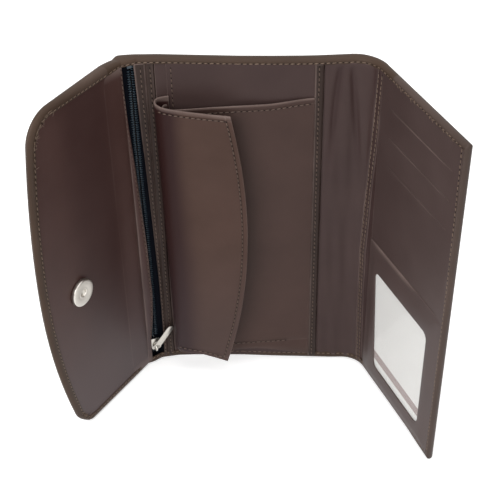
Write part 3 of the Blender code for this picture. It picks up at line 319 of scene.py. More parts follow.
def leatherFinish(name, dark, light, relief, specular):
    # one attribute mixes in pale edge wear with painted highlight along rubbed edges and lips, one mixes in painted
    # shade where it is deepest, and one pales the leather with painted sheen, a painted reflection of the white
    # floor
    material, tree, shader, place = blankMaterial(name)
    grain = tree.nodes.new("ShaderNodeGroup")
    grain.node_tree = grainGroup
    tree.links.new(place, grain.inputs["Vector"])
    colour = mixColours(tree, grain.outputs["Tone"], dark, light)
    wearAndHighlight = addMath(tree, "ADD", grain.outputs["Tone"], wearHighlightLeast)
    layers = (("paintedShade", paintedShadeColour, 1.0), ("paintedSheen", paintedSheenColour, 1.0), ("wearHighlight", wearHighlightColour, wearAndHighlight))
    for attribute, target, amount in layers:
        share = tree.nodes.new("ShaderNodeAttribute")
        share.attribute_name = attribute
        strength = addMath(tree, "MULTIPLY", share.outputs["Fac"], amount)
        colour = mixColours(tree, addMath(tree, "MINIMUM", strength, layerLimit), colour, target)
    tree.links.new(colour, shader.inputs["Base Color"])
    tree.links.new(grain.outputs["Roughness"], shader.inputs["Roughness"])
    shader.inputs["Specular IOR Level"].default_value = specular
    addBump(tree, shader, grain.outputs["Height"], relief, grainDepth)
    return material


cloths = {  # dark yarn, light yarn, yarns per metre, relief
    "zipTape": ((0.0014, 0.0017, 0.0032), (0.0045, 0.0056, 0.0100), 1500.0, 0.5),
    "pocketCloth": ((0.016, 0.013, 0.013), (0.040, 0.033, 0.032), 900.0, 0.5),
}


def clothFinish(name, dark, light, yarns, relief):
    material, tree, shader, place = blankMaterial(name)
    weave = tree.nodes.new("ShaderNodeGroup")
    weave.node_tree = weaveGroup
    weave.inputs["Yarn Scale"].default_value = yarns
    tree.links.new(place, weave.inputs["Vector"])
    tree.links.new(mixColours(tree, weave.outputs["Tone"], dark, light), shader.inputs["Base Color"])
    shader.inputs["Roughness"].default_value = 0.85
    shader.inputs["Specular IOR Level"].default_value = 0.06
    addBump(tree, shader, weave.outputs["Height"], relief, 0.0001)
    return material


speckled = {  # dark, light, noise per metre, roughness, metal, relief
    "thread": ((0.070, 0.043, 0.029), (0.225, 0.155, 0.110), 700.0, 0.60, 0.0, 0.5),
    "threadDark": ((0.050, 0.030, 0.022), (0.150, 0.098, 0.072), 700.0, 0.60, 0.0, 0.5),
    "zipCoil": ((0.014, 0.023, 0.032), (0.046, 0.070, 0.090), 1500.0, 0.26, 0.0, 0.2),
    "nickel": ((0.56, 0.53, 0.48), (0.68, 0.65, 0.60), 420.0, 0.34, 1.0, 0.08),
    "darkMetal": ((0.020, 0.021, 0.025), (0.045, 0.046, 0.052), 420.0, 0.40, 1.0, 0.08),
    "board": ((0.36, 0.31, 0.24), (0.50, 0.45, 0.37), 300.0, 0.92, 0.0, 0.4),
}


def speckledFinish(name, dark, light, scale, roughness, metal, relief):
    material, tree, shader, place = blankMaterial(name)
    speck = addTexture(tree, "ShaderNodeTexNoise", place, scale, Detail=4.0)
    tree.links.new(mixColours(tree, speck.outputs["Fac"], dark, light), shader.inputs["Base Color"])
    rough = mapRange(tree, speck.outputs["Fac"], roughness * 0.8, min(roughness * 1.3, 1.0))
    tree.links.new(rough, shader.inputs["Roughness"])
    shader.inputs["Metallic"].default_value = metal
    addBump(tree, shader, speck.outputs["Fac"], relief, 0.0001)
    return material


def filmFinish():
    material, tree, shader, place = blankMaterial("clearFilm")
    ripple = addTexture(tree, "ShaderNodeTexNoise", place, 60.0, Detail=1.0)
    tint = mixColours(tree, ripple.outputs["Fac"], (0.86, 0.86, 0.86), (0.92, 0.92, 0.92))
    tree.links.new(tint, shader.inputs["Base Color"])
    shader.inputs["Roughness"].default_value = 0.08
    shader.inputs["Alpha"].default_value = 0.12
    addBump(tree, shader, ripple.outputs["Fac"], 0.2, 0.001)
    return material


cardSet = {"paper": (0.90, 0.89, 0.86), "paperDark": (0.85, 0.84, 0.81), "band": (0.34, 0.24, 0.22),
           "bandFoot": 0.0195, "bandHead": 0.0250}


def cardFinish():
    # plain pale card with one darker band near its foot
    material, tree, shader, place = blankMaterial("paperCard")
    fibres = addTexture(tree, "ShaderNodeTexNoise", place, 900.0, Detail=5.0)
    paper = mixColours(tree, fibres.outputs["Fac"], cardSet["paperDark"], cardSet["paper"])
    height = tree.nodes.new("ShaderNodeSeparateXYZ")
    tree.links.new(place, height.inputs["Vector"])
    above = addMath(tree, "GREATER_THAN", height.outputs["Z"], cardSet["bandFoot"])
    below = addMath(tree, "LESS_THAN", height.outputs["Z"], cardSet["bandHead"])
    inBand = addMath(tree, "MULTIPLY", above, below)
    tree.links.new(mixColours(tree, inBand, paper, cardSet["band"]), shader.inputs["Base Color"])
    shader.inputs["Roughness"].default_value = 0.5
    addBump(tree, shader, fibres.outputs["Fac"], 0.15, 0.0001)
    return material


grainGroup = makeGrainGroup()
weaveGroup = makeWeaveGroup()
finishes = {name: leatherFinish(name + "Leather", *values) for name, values in leathers.items()}
finishes.update({name: clothFinish(name, *values) for name, values in cloths.items()})
finishes.update({name: speckledFinish(name, *values) for name, values in speckled.items()})
finishes["film"] = filmFinish()
finishes["card"] = cardFinish()
makeCamera()
makeLights()
makeFloor()
print("camera, lights, floor and finishes are ready")


# shared shaping
def loft(rows, around=False, capRows=(), fill=True):
    # a grid whose rows take the given points; around closes each row on itself
    if around:
        rows = [row + row[:1] for row in rows]
    work = bmesh.new()
    across, up = len(rows[0]) - 1, len(rows) - 1
    bmesh.ops.create_grid(work, x_segments=across, y_segments=up, size=0.5)
    places = {}
    for vert in work.verts:
        i, j = round((vert.co.x + 0.5) * across), round((vert.co.y + 0.5) * up)
        places[i, j] = vert
    for (i, j), vert in places.items():
        vert.co = rows[j][i]
    for j in capRows:
        work.faces.new([places[i, j] for i in range(across + 1)])
    bmesh.ops.remove_doubles(work, verts=work.verts, dist=0.002)
    if fill:
        bmesh.ops.holes_fill(work, edges=[e for e in work.edges if e.is_boundary], sides=0)
    bmesh.ops.recalc_face_normals(work, faces=work.faces)
    return work


wearHighlightBends = (0.30, 0.90)  # radians between faces where pale edge wear and painted highlight start and where they are full


def addPiece(name, work, panel, finish, sharp=40.0, wearAndHighlight=None, paintedShadeAt=None, paintedSheenAt=None, rimWearHighlight=0.8):
    # the three place functions give, 0 to 1 at a place in the panel, extra pale wear with painted highlight,
    # painted shade and painted sheen; the last number is the pale wear and painted highlight of its own along sharp
    # edges
    extra = [wearAndHighlight(vert.co) if wearAndHighlight else 0.0 for vert in work.verts]
    for attribute, share in (("paintedShade", paintedShadeAt), ("paintedSheen", paintedSheenAt)):
        if share:
            layer = work.verts.layers.float.new(attribute)
            for vert in work.verts:
                vert[layer] = share(vert.co)
    if panel:
        bmesh.ops.transform(work, matrix=panelMatrix(panel), verts=work.verts)
    bmesh.ops.recalc_face_normals(work, faces=work.faces)
    if finish in leathers and finish != "needleHoleShadow":
        # pale edge wear and painted highlight along sharp edges, plus the extra for the place
        wearHighlight = work.verts.layers.float.new("wearHighlight")
        for vert, share in zip(work.verts, extra):
            bend = max((e.calc_face_angle(0.0) for e in vert.link_edges), default=0.0)
            vert[wearHighlight] = min(rimWearHighlight * smoothStep(*wearHighlightBends, bend) + share, 1.0)
    mesh = meshFrom(name, work)
    mesh.materials.append(finishes[finish])
    mesh.shade_smooth()
    mesh.set_sharp_from_angle(angle=math.radians(sharp))
    return addObject(name, mesh)


def arcPoints(centre, radius, start, end, steps):
    turns = [math.radians(start + (end - start) * i / steps) for i in range(steps + 1)]
    return [(centre[0] + radius * math.cos(a), centre[1] + radius * math.sin(a)) for a in turns]


def roundBlock(left, right, bottom, top, radius, steps=4):
    # closed outline, anticlockwise from the lower right corner
    r = max(min(radius, (right - left) / 2.01, (top - bottom) / 2.01), 0.02)
    points = []
    for x, z, start in ((right - r, bottom + r, -90), (right - r, top - r, 0),
                        (left + r, top - r, 90), (left + r, bottom + r, 180)):
        points += arcPoints((x, z), r, start, start + 90, steps)
    return points


def atDepth(outline, y):
    return [(x, y, z) for x, z in outline]


def plate(left, right, bottom, top, section, radius=0.5):
    # flat piece with worked edges: section gives (inset, y) from its back edge to its front
    rows = []
    for inset, y in section:
        ring = roundBlock(left + inset, right - inset, bottom + inset, top - inset, radius - inset * 0.6)
        rows.append(atDepth(ring, y))
    return loft(rows, around=True)


def smoothPath(points, steps=6):
    # rounded way through the points, and its length at each place
    ends = [2 * Vector(points[0]) - Vector(points[1])] + [Vector(p) for p in points]
    ends.append(2 * ends[-1] - ends[-2])
    path = []
    for a, b, c, d in zip(ends, ends[1:], ends[2:], ends[3:]):
        for i in range(steps):
            t = i / steps
            path.append(0.5 * (2 * b + (c - a) * t + (2 * a - 5 * b + 4 * c - d) * t**2
                               + (3 * b - a - 3 * c + d) * t**3))
    path.append(ends[-2])
    return path


def pathLengths(path):
    lengths = [0.0]
    for a, b in zip(path, path[1:]):
        lengths.append(lengths[-1] + (b - a).length)
    return lengths


def stretchAt(lengths, distance):
    # the stretch of a path that a distance falls in, and the share of the way along it
    i = max(k for k, value in enumerate(lengths[:-1]) if value <= distance)
    return i, (distance - lengths[i]) / max(lengths[i + 1] - lengths[i], 1e-9)


def alongPath(path, lengths, distance):
    i, share = stretchAt(lengths, min(max(distance, 0.0), lengths[-1]))
    return path[i].lerp(path[i + 1], share)


def smoothStep(low, high, value):
    t = min(max((value - low) / (high - low), 0.0), 1.0)
    return t * t * (3 - 2 * t)


def track(points, value):
    # read off the line through the points, level beyond both ends
    for (low, first), (high, second) in zip(points, points[1:]):
        if value <= high:
            return first + (second - first) * min(max((value - low) / (high - low), 0.0), 1.0)
    return points[-1][1]


def bump(centre, width, value):
    return math.exp(-(((value - centre) / width) ** 2))


def cutAcross(work, axis, places):
    # extra corners along straight lines over wide faces, so that painted shade, painted sheen and pale wear with
    # painted highlight can change there
    way = Vector([float(k == axis) for k in range(3)])
    for place in places:
        parts = work.verts[:] + work.edges[:] + work.faces[:]
        bmesh.ops.bisect_plane(work, geom=parts, plane_co=way * place, plane_no=way)
    return work


def thicken(work, thickness, rounding):
    bmesh.ops.recalc_face_normals(work, faces=work.faces)
    bmesh.ops.solidify(work, geom=work.faces, thickness=thickness)
    bmesh.ops.recalc_face_normals(work, faces=work.faces)
    rims = [e for e in work.edges if len(e.link_faces) == 2 and e.calc_face_angle(0.0) > 1.05]
    bmesh.ops.bevel(work, geom=rims, offset=rounding, segments=2, profile=0.5,
                    affect="EDGES", material=-1, clamp_overlap=True)
    return work


# stitches
stitchSet = {"pitch": 2.65, "length": 1.85, "width": 0.56, "height": 0.46, "sunk": 0.02, "slant": 8.0,
             "hole": (0.9, 0.54, 0.18), "uneven": 0.16, "into": 0.06}


def squareTo(way, side):
    # the side turned square to the way
    return (side - side.dot(way) * way).normalized()


def newSeam():
    return {"thread": bmesh.new(), "holes": bmesh.new()}


def bead(work, centre, way, up, size):
    # one small rounded body, long along way and flat along up
    side = up.cross(way)
    turn = Matrix((way * size[0], side * size[1], up * size[2])).transposed()
    place = Matrix.Translation(centre) @ turn.to_4x4() @ Matrix.Rotation(math.pi / 2, 4, "Y")
    bmesh.ops.create_uvsphere(work, u_segments=6, v_segments=5, radius=0.5, matrix=place)


def sew(seam, points, facings, **changes):
    # one row of thread stitches along a line on the leather, with near-black beads between them as painted shadow
    # in the needle's holes
    spec = {**stitchSet, **changes}
    draw = random.Random(len(points) + int(spec["slant"]))
    points = [Vector(p) for p in points]
    lengths = pathLengths(points)
    count = max(int(lengths[-1] / spec["pitch"]), 1)
    step = lengths[-1] / count
    for number in range(2 * count):
        i, share = stretchAt(lengths, (number + 0.5) * step / 2)
        way = (points[i + 1] - points[i]).normalized()
        up = squareTo(way, Vector(facings[i]).lerp(Vector(facings[i + 1]), share))
        centre = points[i].lerp(points[i + 1], share)
        if number % 2:
            bead(seam["holes"], centre, way, up, spec["hole"])
        else:
            way = Matrix.Rotation(math.radians(spec["slant"] + draw.uniform(-7.0, 7.0)), 3, up) @ way
            low, high = 1 - spec["uneven"], 1 + spec["uneven"]
            size = [spec[key] * draw.uniform(low, high) for key in ("length", "width", "height")]
            bead(seam["thread"], centre + up * spec["sunk"], way, up, size)


def looseThread(seam, centre, way, length, width):
    # an end of thread that stands off a flat face
    way = Vector(way).normalized()
    up = squareTo(way, Vector((0.0, -1.0, 0.0)))
    bead(seam["thread"], Vector(centre), way, up, (length, width, width))


def sewFlat(seam, line, y, facing=-1.0, **changes):
    # a row on a flat face: line gives (x, z), and the face looks along -y or +y
    sew(seam, atDepth(line, y), [(0.0, facing, 0.0)] * len(line), **changes)


def finishSeam(name, seam, panel, attach, thread="thread"):
    for part, finish in (("thread", thread), ("holes", "needleHoleShadow")):
        attach(addPiece(name + "_" + part, seam[part], panel, finish, sharp=80.0))


# outer cover, turned in round the edges
coverSet = {"topStitch": 2.3, "footStitch": 3.7, "flapStitch": 3.2, "backStitch": 3.7, "stitchFront": -0.38}


def coverSection(depth, stitch):
    # (inset from the edge, y) of the leather's outer side, from its inner border round to the
    # back, and of its inner side
    half = (stitch + 0.6) / 2
    outer = [(stitch + 0.9, 0.0), (stitch + 0.9, -0.22), (stitch + 0.7, -0.36), (stitch + 0.35, -0.44),
             (stitch, -0.34), (stitch - 0.35, -0.45), (half, -0.42), (0.95, -0.12), (0.45, 0.30),
             (0.12, 0.80), (0.0, 1.25), (0.0, depth - 1.9), (0.15, depth - 1.25), (0.5, depth - 0.6),
             (1.1, depth - 0.15), (2.0, depth), (3.35, depth), (3.7, depth - 0.12), (4.05, depth), (9.0, depth)]
    inner = [(9.0, depth - 1.0), (2.0, depth - 1.0), (1.3, depth - 1.3), (1.1, depth / 2),
             (1.3, 0.8), (2.0, 0.3)]
    return outer, inner


headRun = [(9.0, 0.95), (25.0, 0.35), (45.0, -0.4), (70.0, -0.85), (82.0, -0.75), (97.0, -0.3), (103.0, 0.0)]


def liftHead(work):
    # the head of a piece follows the cover's upper edge
    for vert in work.verts:
        vert.co.z += track(headRun, vert.co.x) * smoothStep(165.0, 187.0, vert.co.z)
    return work


def tallSection(depth, topStitch, footStitch, head, rise):
    # the leather turned in at the top and at the foot, as one closed outline of (y, z)
    outer, inner = coverSection(depth, topStitch)
    footOuter, footInner = coverSection(depth, footStitch)
    top = [(y, walletHeight + head - inset) for inset, y in outer]
    foot = [(y, inset + rise) for inset, y in footOuter[::-1]]
    back = [(depth, z) for z in (150.0, 115.0, 75.0, 40.0)]
    innerFoot = [(y, inset + rise) for inset, y in footInner[::-1]]
    innerTop = [(y, walletHeight + head - inset) for inset, y in inner]
    return top + back + foot + innerFoot + innerTop


footRun = [(-4.0, 0.0), (2.0, 1.7), (10.0, 3.0), (20.0, 3.2), (38.0, 2.9), (50.0, 2.6), (62.0, 1.7), (72.0, 1.3),
           (94.0, 0.2)]


def station(place, out, depth, **more):
    # one place along the cover: where it is in the centre panel's plan, which way is out, where
    # its stitches run and how far its upper and lower edges are raised
    spot = {"place": Vector(place), "way": heading(out), "depth": depth, "top": coverSet["topStitch"],
            "foot": coverSet["footStitch"], "head": track(headRun, place[0]), "rise": track(footRun, place[0])}
    return {**spot, **more}


def between(inner, outer, **more):
    reach = Vector(outer) - Vector(inner)
    return station(inner, math.degrees(math.atan2(reach.y, reach.x)), reach.length, **more)


def ribbonCover(name, stations, startBody, endBody, start, end, nodes):
    def at(spot, y, z):
        x, across = spot["place"] + y * spot["way"]
        return (x, across, z)

    rows = [[at(spot, y, z)
             for y, z in tallSection(spot["depth"], spot["top"], spot["foot"], spot["head"], spot["rise"])]
            for spot in stations]
    piece = addPiece(name, loft(rows, around=True), "centre", "cover", rimWearHighlight=0.0)
    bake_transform(piece)
    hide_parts(*nodes)
    seam = newSeam()
    backStitch = coverSet["backStitch"]
    ways = [(spot["way"].x, spot["way"].y, 0.0) for spot in stations]
    inward = [(-x, -y, 0.0) for x, y, _ in ways]

    def sewRow(back, heightAt):
        line = [at(spot, spot["depth"] - stitchSet["into"] if back else coverSet["stitchFront"], heightAt(spot))
                for spot in stations]
        sew(seam, line, ways if back else inward)

    sewRow(True, lambda spot: walletHeight + spot["head"] - backStitch)
    sewRow(True, lambda spot: backStitch + spot["rise"])
    sewRow(False, lambda spot: walletHeight + spot["head"] - spot["top"])
    sewRow(False, lambda spot: spot["foot"] + spot["rise"])
    finishSeam(name, seam, "centre", lambda item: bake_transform(item))


alongZip, alongFlap = heading(180.0 + zipTurn), heading(180.0 + flapTurn)  # away from the centre panel
flapCorner = foldLines["zipWidth"] * alongZip
spineCentre = Vector((foldLines["spine"] + foldLines["spineFlat"], -foldLines["spineRadius"]))
coverSplits = {"centre": 46.0, "spine": 92.5, "flap": 10.0, "card": 10.0}
# along the zip strip (mm from its inner corner): where the cover's outer side stands behind it
foldOutside = [(0.0, (0.5, 5.03)), (0.4, (-0.6, 5.06)), (1.2, (-1.9, 5.02)), (2.6, (-3.6, 4.85)),
               (3.9, (-5.2, 4.7)), (5.2, (-6.8, 4.5)), (6.5, (-8.3, 4.25)), (7.4, (-9.4, 3.9)),
               (7.8, (-10.1, 3.2)), (7.8, (-10.7, 2.2)), (7.8, (-11.2, 1.1)), (7.8, (-11.6, 0.1))]


cardPanelSet = {"width": 72.0, "footCorner": 0.6, "topCorner": 1.4, "freeBorder": 1.9, "rise": 1.3}


def spineStation(turn):
    share = turn / cardTurn
    depth = depths["centre"] + (depths["card"] - depths["centre"]) * share
    return station(spineCentre + foldLines["spineRadius"] * heading(90.0 - turn), 90.0 - turn, depth,
                   rise=0.2 + (cardPanelSet["rise"] - 0.2) * share)


def flapDepth(u):
    # the cover is as deep as the fold beside it and thins out over the flap
    return depths["flap"] + 2.15 * (1 - smoothStep(8.0, 64.0, u))


def flapHead(u):
    # how far the flap's upper edge stands above the panels' height
    return 2.95 - 2.0 * math.exp(-u / 8.0)


def flapFoot(u):
    # the flap's free corner is lifted off the ground
    return 1.5 * bump(57.0, 5.5, u) + 4.6 * smoothStep(47.0, 67.0, u)


def makeCovers():
    flapStitch = coverSet["flapStitch"]
    def flatRun(places):
        return [station((x, 0.0), 90.0, depths["centre"]) for x in places]

    fold = flatRun((coverSplits["centre"], 30.0, 18.0, 13.0, 11.0, 10.2, 9.4, 8.7, 8.1, 7.5, 6.9, 6.3, 5.6,
                    4.8, 4.0, 2.6, 1.2))
    fold += [between(t * alongZip, outer) for t, outer in foldOutside[:5]]
    ribbonCover("cover_over_fold", fold, "back_panel", "left_fold", placeOn("centre", 10.2, 0, 90),
                placeOn("centre", 4.8, 0, 90), ("back_cover", "fold_cover"))
    flap = [between(min(t, foldLines["zipWidth"]) * alongZip, outer) for t, outer in foldOutside[4:]]
    for u in (0.5, 1.1, 1.8, 2.6, 3.5, 5.0, 7.5, coverSplits["flap"]):
        share = smoothStep(0.0, coverSplits["flap"], u)
        top = coverSet["topStitch"] + (flapStitch - coverSet["topStitch"]) * share
        foot = coverSet["footStitch"] + (flapStitch - coverSet["footStitch"]) * share
        flap.append(station(flapCorner + u * alongFlap, 90.0 + flapTurn, flapDepth(u), top=top, foot=foot,
                            head=flapHead(u), rise=flapFoot(u)))
    ribbonCover("cover_at_flap", flap, "left_fold", "flap", placeOn("zip", 2.8, 0, 90),
                placeOn("flap", -2.8, 0, 90), ("flap_fold_bend",))
    spine = flatRun((coverSplits["centre"], 62.0, 76.0, 81.0, 82.6, 83.5, 84.3, 85.0, 85.6, 86.2, 86.9, 87.6,
                     88.4, 89.5, 91.0, coverSplits["spine"]))
    ribbonCover("cover_at_spine", spine, "back_panel", "spine", placeOn("centre", 83.2, 0, 90),
                placeOn("centre", 88.8, 0, 90), ("spine_cover",))
    card = flatRun((coverSplits["spine"], 95.0, 97.5)) + [spineStation(cardTurn * i / 16) for i in range(17)]
    cardStart = card[-1]["place"]
    for u in (1.5, 4.0, 7.0, coverSplits["card"]):
        place = cardStart + u * heading(-cardTurn)
        card.append(station(place, 90.0 - cardTurn, depths["card"], rise=cardPanelSet["rise"]))
    ribbonCover("cover_at_card_side", card, "spine", "card_panel", *spineBlend, ("spine_bend",))


# two places on the spine, passed to the card side's cover strip, which does not read them
spineBlend = [placeOn("centre", *spineStation(t)["place"], 90.0) for t in (4.0, 63.5)]


# flap
flapSet = {"width": 71.7, "edgeRadius": 505.0, "topRadius": 16.5, "footRadius": 11.0, "footCut": 5.0,
           "liningEdge": 0.35, "liningInset": 1.9, "board": ((4.6, 1.95), (4.5, 1.9), (4.5, 1.3), (4.6, 1.25))}


def flapHeight(u, z):
    share = z / walletHeight
    return z + flapHead(u) * share + flapFoot(u) * (1 - share)


def flapOutline(inset, start):
    # from the fold along the foot, up the curved free edge and back along the top, as (x, z). The
    # leather has pulled in at its lower corner and stands a little off the ground there.
    half, radius, cut = walletHeight / 2, flapSet["edgeRadius"], flapSet["footCut"]

    def reach(z):
        low = max(half - z, 0.0) / half
        lean = -(z - half) / radius + 2 * cut * low / half
        return flapSet["width"] - (z - half) ** 2 / (2 * radius) - cut * low**2, math.atan(lean)

    def corner(r, sign):
        z, lean = r, 0.0
        for _ in range(4):
            z = r * (1 - math.sin(lean))
            wide, lean = reach(z if sign < 0 else walletHeight - z)
            lean = abs(lean)
        centreZ = r if sign < 0 else walletHeight - r
        return (wide - r * math.cos(lean), centreZ), math.degrees(lean), (z if sign < 0 else walletHeight - z)

    foot, footLean, footZ = corner(flapSet["footRadius"], -1)
    top, topLean, topZ = corner(flapSet["topRadius"], 1)
    points = [(start, inset)]
    points += arcPoints(foot, flapSet["footRadius"] - inset, -90.0, -footLean, 12)
    for i in range(1, 18):
        z = footZ + (topZ - footZ) * i / 18
        wide, lean = reach(z)
        points.append((wide - inset * math.cos(lean), z + inset * math.sin(lean)))
    points += arcPoints(top, flapSet["topRadius"] - inset, topLean, 90.0, 12)
    points += [(start, walletHeight - inset)]
    return [(-u, flapHeight(u, z)) for u, z in points]


def flapPaintedShade(place):
    # painted shade: deepest between the snap and the zip, paler towards the foot
    across = smoothStep(-52.0, -34.0, place.x) * (1 - smoothStep(-19.0, -7.0, place.x))
    return 0.42 * across * smoothStep(25.0, 80.0, place.z)


# painted sheen: paler towards the foot, a painted reflection of the white floor
def flapPaintedSheen(place):
    return 0.22 * (1 - smoothStep(5.0, 95.0, place.z))


def onFlap(place):
    # a place in the centre panel's frame as seen from the flap
    along = (Vector(place[:2]) - flapCorner).dot(alongFlap)
    return Vector((-along, 0.0, place.z))


def makeFlapCover():
    rows = []
    outer, inner = coverSection(depths["flap"], coverSet["flapStitch"])
    for k, (inset, _) in enumerate(inner + outer):
        row = []
        for x, z in flapOutline(inset, coverSplits["flap"]):
            outerHere, innerHere = coverSection(flapDepth(-x), coverSet["flapStitch"])
            row.append((x, (innerHere + outerHere)[k][1], z))
        rows.append(row)
    cover = addPiece("flap_cover_skin", loft(rows, capRows=(0, len(rows) - 1)), "flap", "cover", rimWearHighlight=0.2)
    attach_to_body(cover, "flap")
    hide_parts("flap_cover")


def makeFlapBoard():
    rows = [atDepth(flapOutline(inset, 2.0 + inset), y) for inset, y in flapSet["board"]]
    board = addPiece("flap_board_sheet", loft(rows, around=True), "flap", "board")
    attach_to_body(board, "flap")
    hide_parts("flap_board")


def makeFlapLining():
    section = [(1.0, 0.9), (0.0, 0.85), (0.0, 0.35), (0.12, 0.12), (0.4, -0.03), (0.9, -0.08),
               (1.6, -0.04), (3.0, 0.0), (8.0, 0.02)]
    rows = [atDepth(flapOutline(flapSet["liningInset"] + inset, flapSet["liningEdge"] + inset), y)
            for inset, y in section]
    work = cutAcross(loft(rows, around=True), 0, [-4.0 * i for i in range(1, 17)])
    cutAcross(work, 2, [12.0 * i for i in range(1, 16)])
    # the lining carries the flap's painted shade and painted sheen
    lining = addPiece("flap_lining_skin", work, "flap", "flapLining", paintedShadeAt=flapPaintedShade, paintedSheenAt=flapPaintedSheen)
    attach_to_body(lining, "flap")
    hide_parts("flap_lining")


def sewFlap():
    seam = newSeam()
    line = flapOutline(coverSet["flapStitch"], coverSplits["flap"])
    sewFlat(seam, line, coverSet["stitchFront"], slant=14.0)
    backLine = flapOutline(coverSet["backStitch"], coverSplits["flap"])
    backLine = [(x, flapDepth(-x) - stitchSet["into"], z) for x, z in backLine]
    sew(seam, backLine, [(0.0, 1.0, 0.0)] * len(backLine))
    draw = random.Random(11)
    for x, z in line[1:12] + line[30:44]:  # loose ends of thread round both corners
        for _ in range(2):
            turn = draw.uniform(0.0, math.pi)
            centre = (x + draw.uniform(-1.2, 1.2), -0.62, z + draw.uniform(-1.2, 1.2))
            looseThread(seam, centre, (math.cos(turn), -0.25, math.sin(turn)), draw.uniform(1.6, 3.2), 0.22)
    finishSeam("flap", seam, "flap", lambda item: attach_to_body(item, "flap"))


lipSet = {"front": 0.42, "stitch": 0.9,
          # distance before the fold, how far it stands off, and how much more where the lip is wide
          "bend": ((15.0, -0.06, 0.0), (12.5, 0.0, 0.0), (10.0, 0.1, 0.08), (7.5, 0.18, 0.32), (5.0, 0.28, 0.66),
                   (3.0, 0.36, 0.90), (1.2, 0.42, 1.02), (-0.02, 0.42, 1.08)),
          "over": ((0.25, 1.02), (0.5, 0.84), (0.75, 0.52))}  # share of the lip's width, and how much more there
lipRun = [(0.0, 2.4), (17.0, 2.5), (23.0, 3.4), (32.0, 4.5), (50.0, 5.5), (80.0, 4.9), (105.0, 3.8),
          (130.0, 2.5), (157.0, 0.9), (175.0, 0.25), (188.0, 0.15)]


def lipWidth(z):
    return track(lipRun, z)


def makeFlapLip():
    # edge of the flap's lining that turns over the zip's tape
    def at(along, y, z):
        if along < 0:
            x, across = flapCorner + -along * alongFlap + y * heading(90.0 + flapTurn)
        else:
            x, across = flapCorner + along * heading(zipTurn) + y * heading(90.0 + zipTurn)
        return (x, across, flapHeight(max(-along, 0.0), z))

    rows = []
    for i in range(37):
        z = 2.6 + 184.6 * i / 36
        wide = lipWidth(z)
        soft = min(wide / 4.0, 1.0)  # the bend is rounder where the lip is wide
        front = [(-before, -level - more * soft) for before, level, more in lipSet["bend"]]
        front += [(wide * share, -lipSet["front"] - more * soft) for share, more in lipSet["over"]]
        front += [(wide - 0.1, -lipSet["front"] - 0.1 * soft), (wide, -0.28)]
        back = [(wide - 0.02, -0.12), (0.1, -0.1), (-0.6, 0.0)]
        rows.append([at(along, y, z) for along, y in front + back])
    # the flap's painted shade and painted sheen carry on over the lip
    lip = addPiece("flap_lining_lip", loft(rows, around=True), "centre", "flapLining",
                   paintedShadeAt=lambda place: flapPaintedShade(onFlap(place)), paintedSheenAt=lambda place: flapPaintedSheen(onFlap(place)))
    seam = newSeam()
    heights = [4.5 + 182.0 * i / 48 for i in range(49)]
    facing = -heading(130.0)
    spots = []
    for z in heights:
        wide = lipWidth(z)
        swell = min(wide / 4.0, 1.0) * min(lipSet["stitch"] / max(wide * 0.25, 0.3), 1.0)
        spots.append(at(wide - lipSet["stitch"], -0.46 - 0.45 * swell, z))
    sew(seam, spots, [(*facing, 0.0)] * len(heights), width=0.6)

    def bend(item):
        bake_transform(item)

    bend(lip)
    finishSeam("flap_lip", seam, "centre", bend, thread="threadDark")


makeCovers()
print("cover strips over the folds are made")
makeFlapCover()
makeFlapBoard()
makeFlapLining()
sewFlap()
makeFlapLip()
print("flap is made")


# card panel
def cardRise(x):
    # the lower edge stands a little off the ground between its ends
    return cardPanelSet["rise"] * (1 + 0.25 * bump(40.0, 18.0, x)) * (1 - smoothStep(46.0, 72.0, x))


def cardOutline(top, foot, free, start):
    # from the fold along the foot, up the free edge and back along the top, as (x, z)
    right = cardPanelSet["width"] - free
    footRadius = max(cardPanelSet["footCorner"] - free, 0.3)
    topRadius = max(cardPanelSet["topCorner"] - free, 0.3)
    points = [(x, foot + cardRise(x)) for x in (start, 30.0, 50.0, 62.0)]
    points += arcPoints((right - footRadius, foot + footRadius), footRadius, -90, 0, 5)
    points += arcPoints((right - topRadius, walletHeight - top - topRadius), topRadius, 0, 90, 5)
    points += [(start, walletHeight - top)]
    return points


slitSet = {"start": 9.5, "length": 54.0, "heights": (172.5, 157.0, 141.5), "shown": (0.6, 0.28, 0.18),
           "gap": 0.12, "lip": 0.12, "line": 0.5}


def slitReach(x, spread=5.0):
    low, high = slitSet["start"], slitSet["start"] + slitSet["length"]
    return smoothStep(low - 0.5, low + spread, x) * (1 - smoothStep(high - spread, high + 0.5, x))


def slitLipHighlight(place):
    # painted highlight along the lip of each slit
    for height, shown in zip(slitSet["heights"], slitSet["shown"]):
        if -slitSet["line"] - 0.02 < place.z - height < 0.0 and place.y < 0.2:
            return shown * slitReach(place.x, 14.0)
    return 0.0


cardSections = [coverSection(depths["card"], coverSet[key]) for key in ("topStitch", "footStitch")]
cardNarrow = cardPanelSet["freeBorder"] / cardSections[0][0][0][0]  # the free edge's border by the top's


def makeCardCover():
    (outer, inner), (footOuter, footInner) = cardSections
    rows = []
    for (top, y), (foot, _) in zip(inner + outer, footInner + footOuter):
        free = top * cardNarrow if y < 1.3 else top
        rows.append(atDepth(cardOutline(top, foot, free, coverSplits["card"]), y))
    work = loft(rows, capRows=(0, len(rows) - 1))
    cover = addPiece("card_panel_cover_skin", work, "card", "cardCover", rimWearHighlight=0.2)
    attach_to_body(cover, "card_panel")
    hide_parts("card_panel_cover")


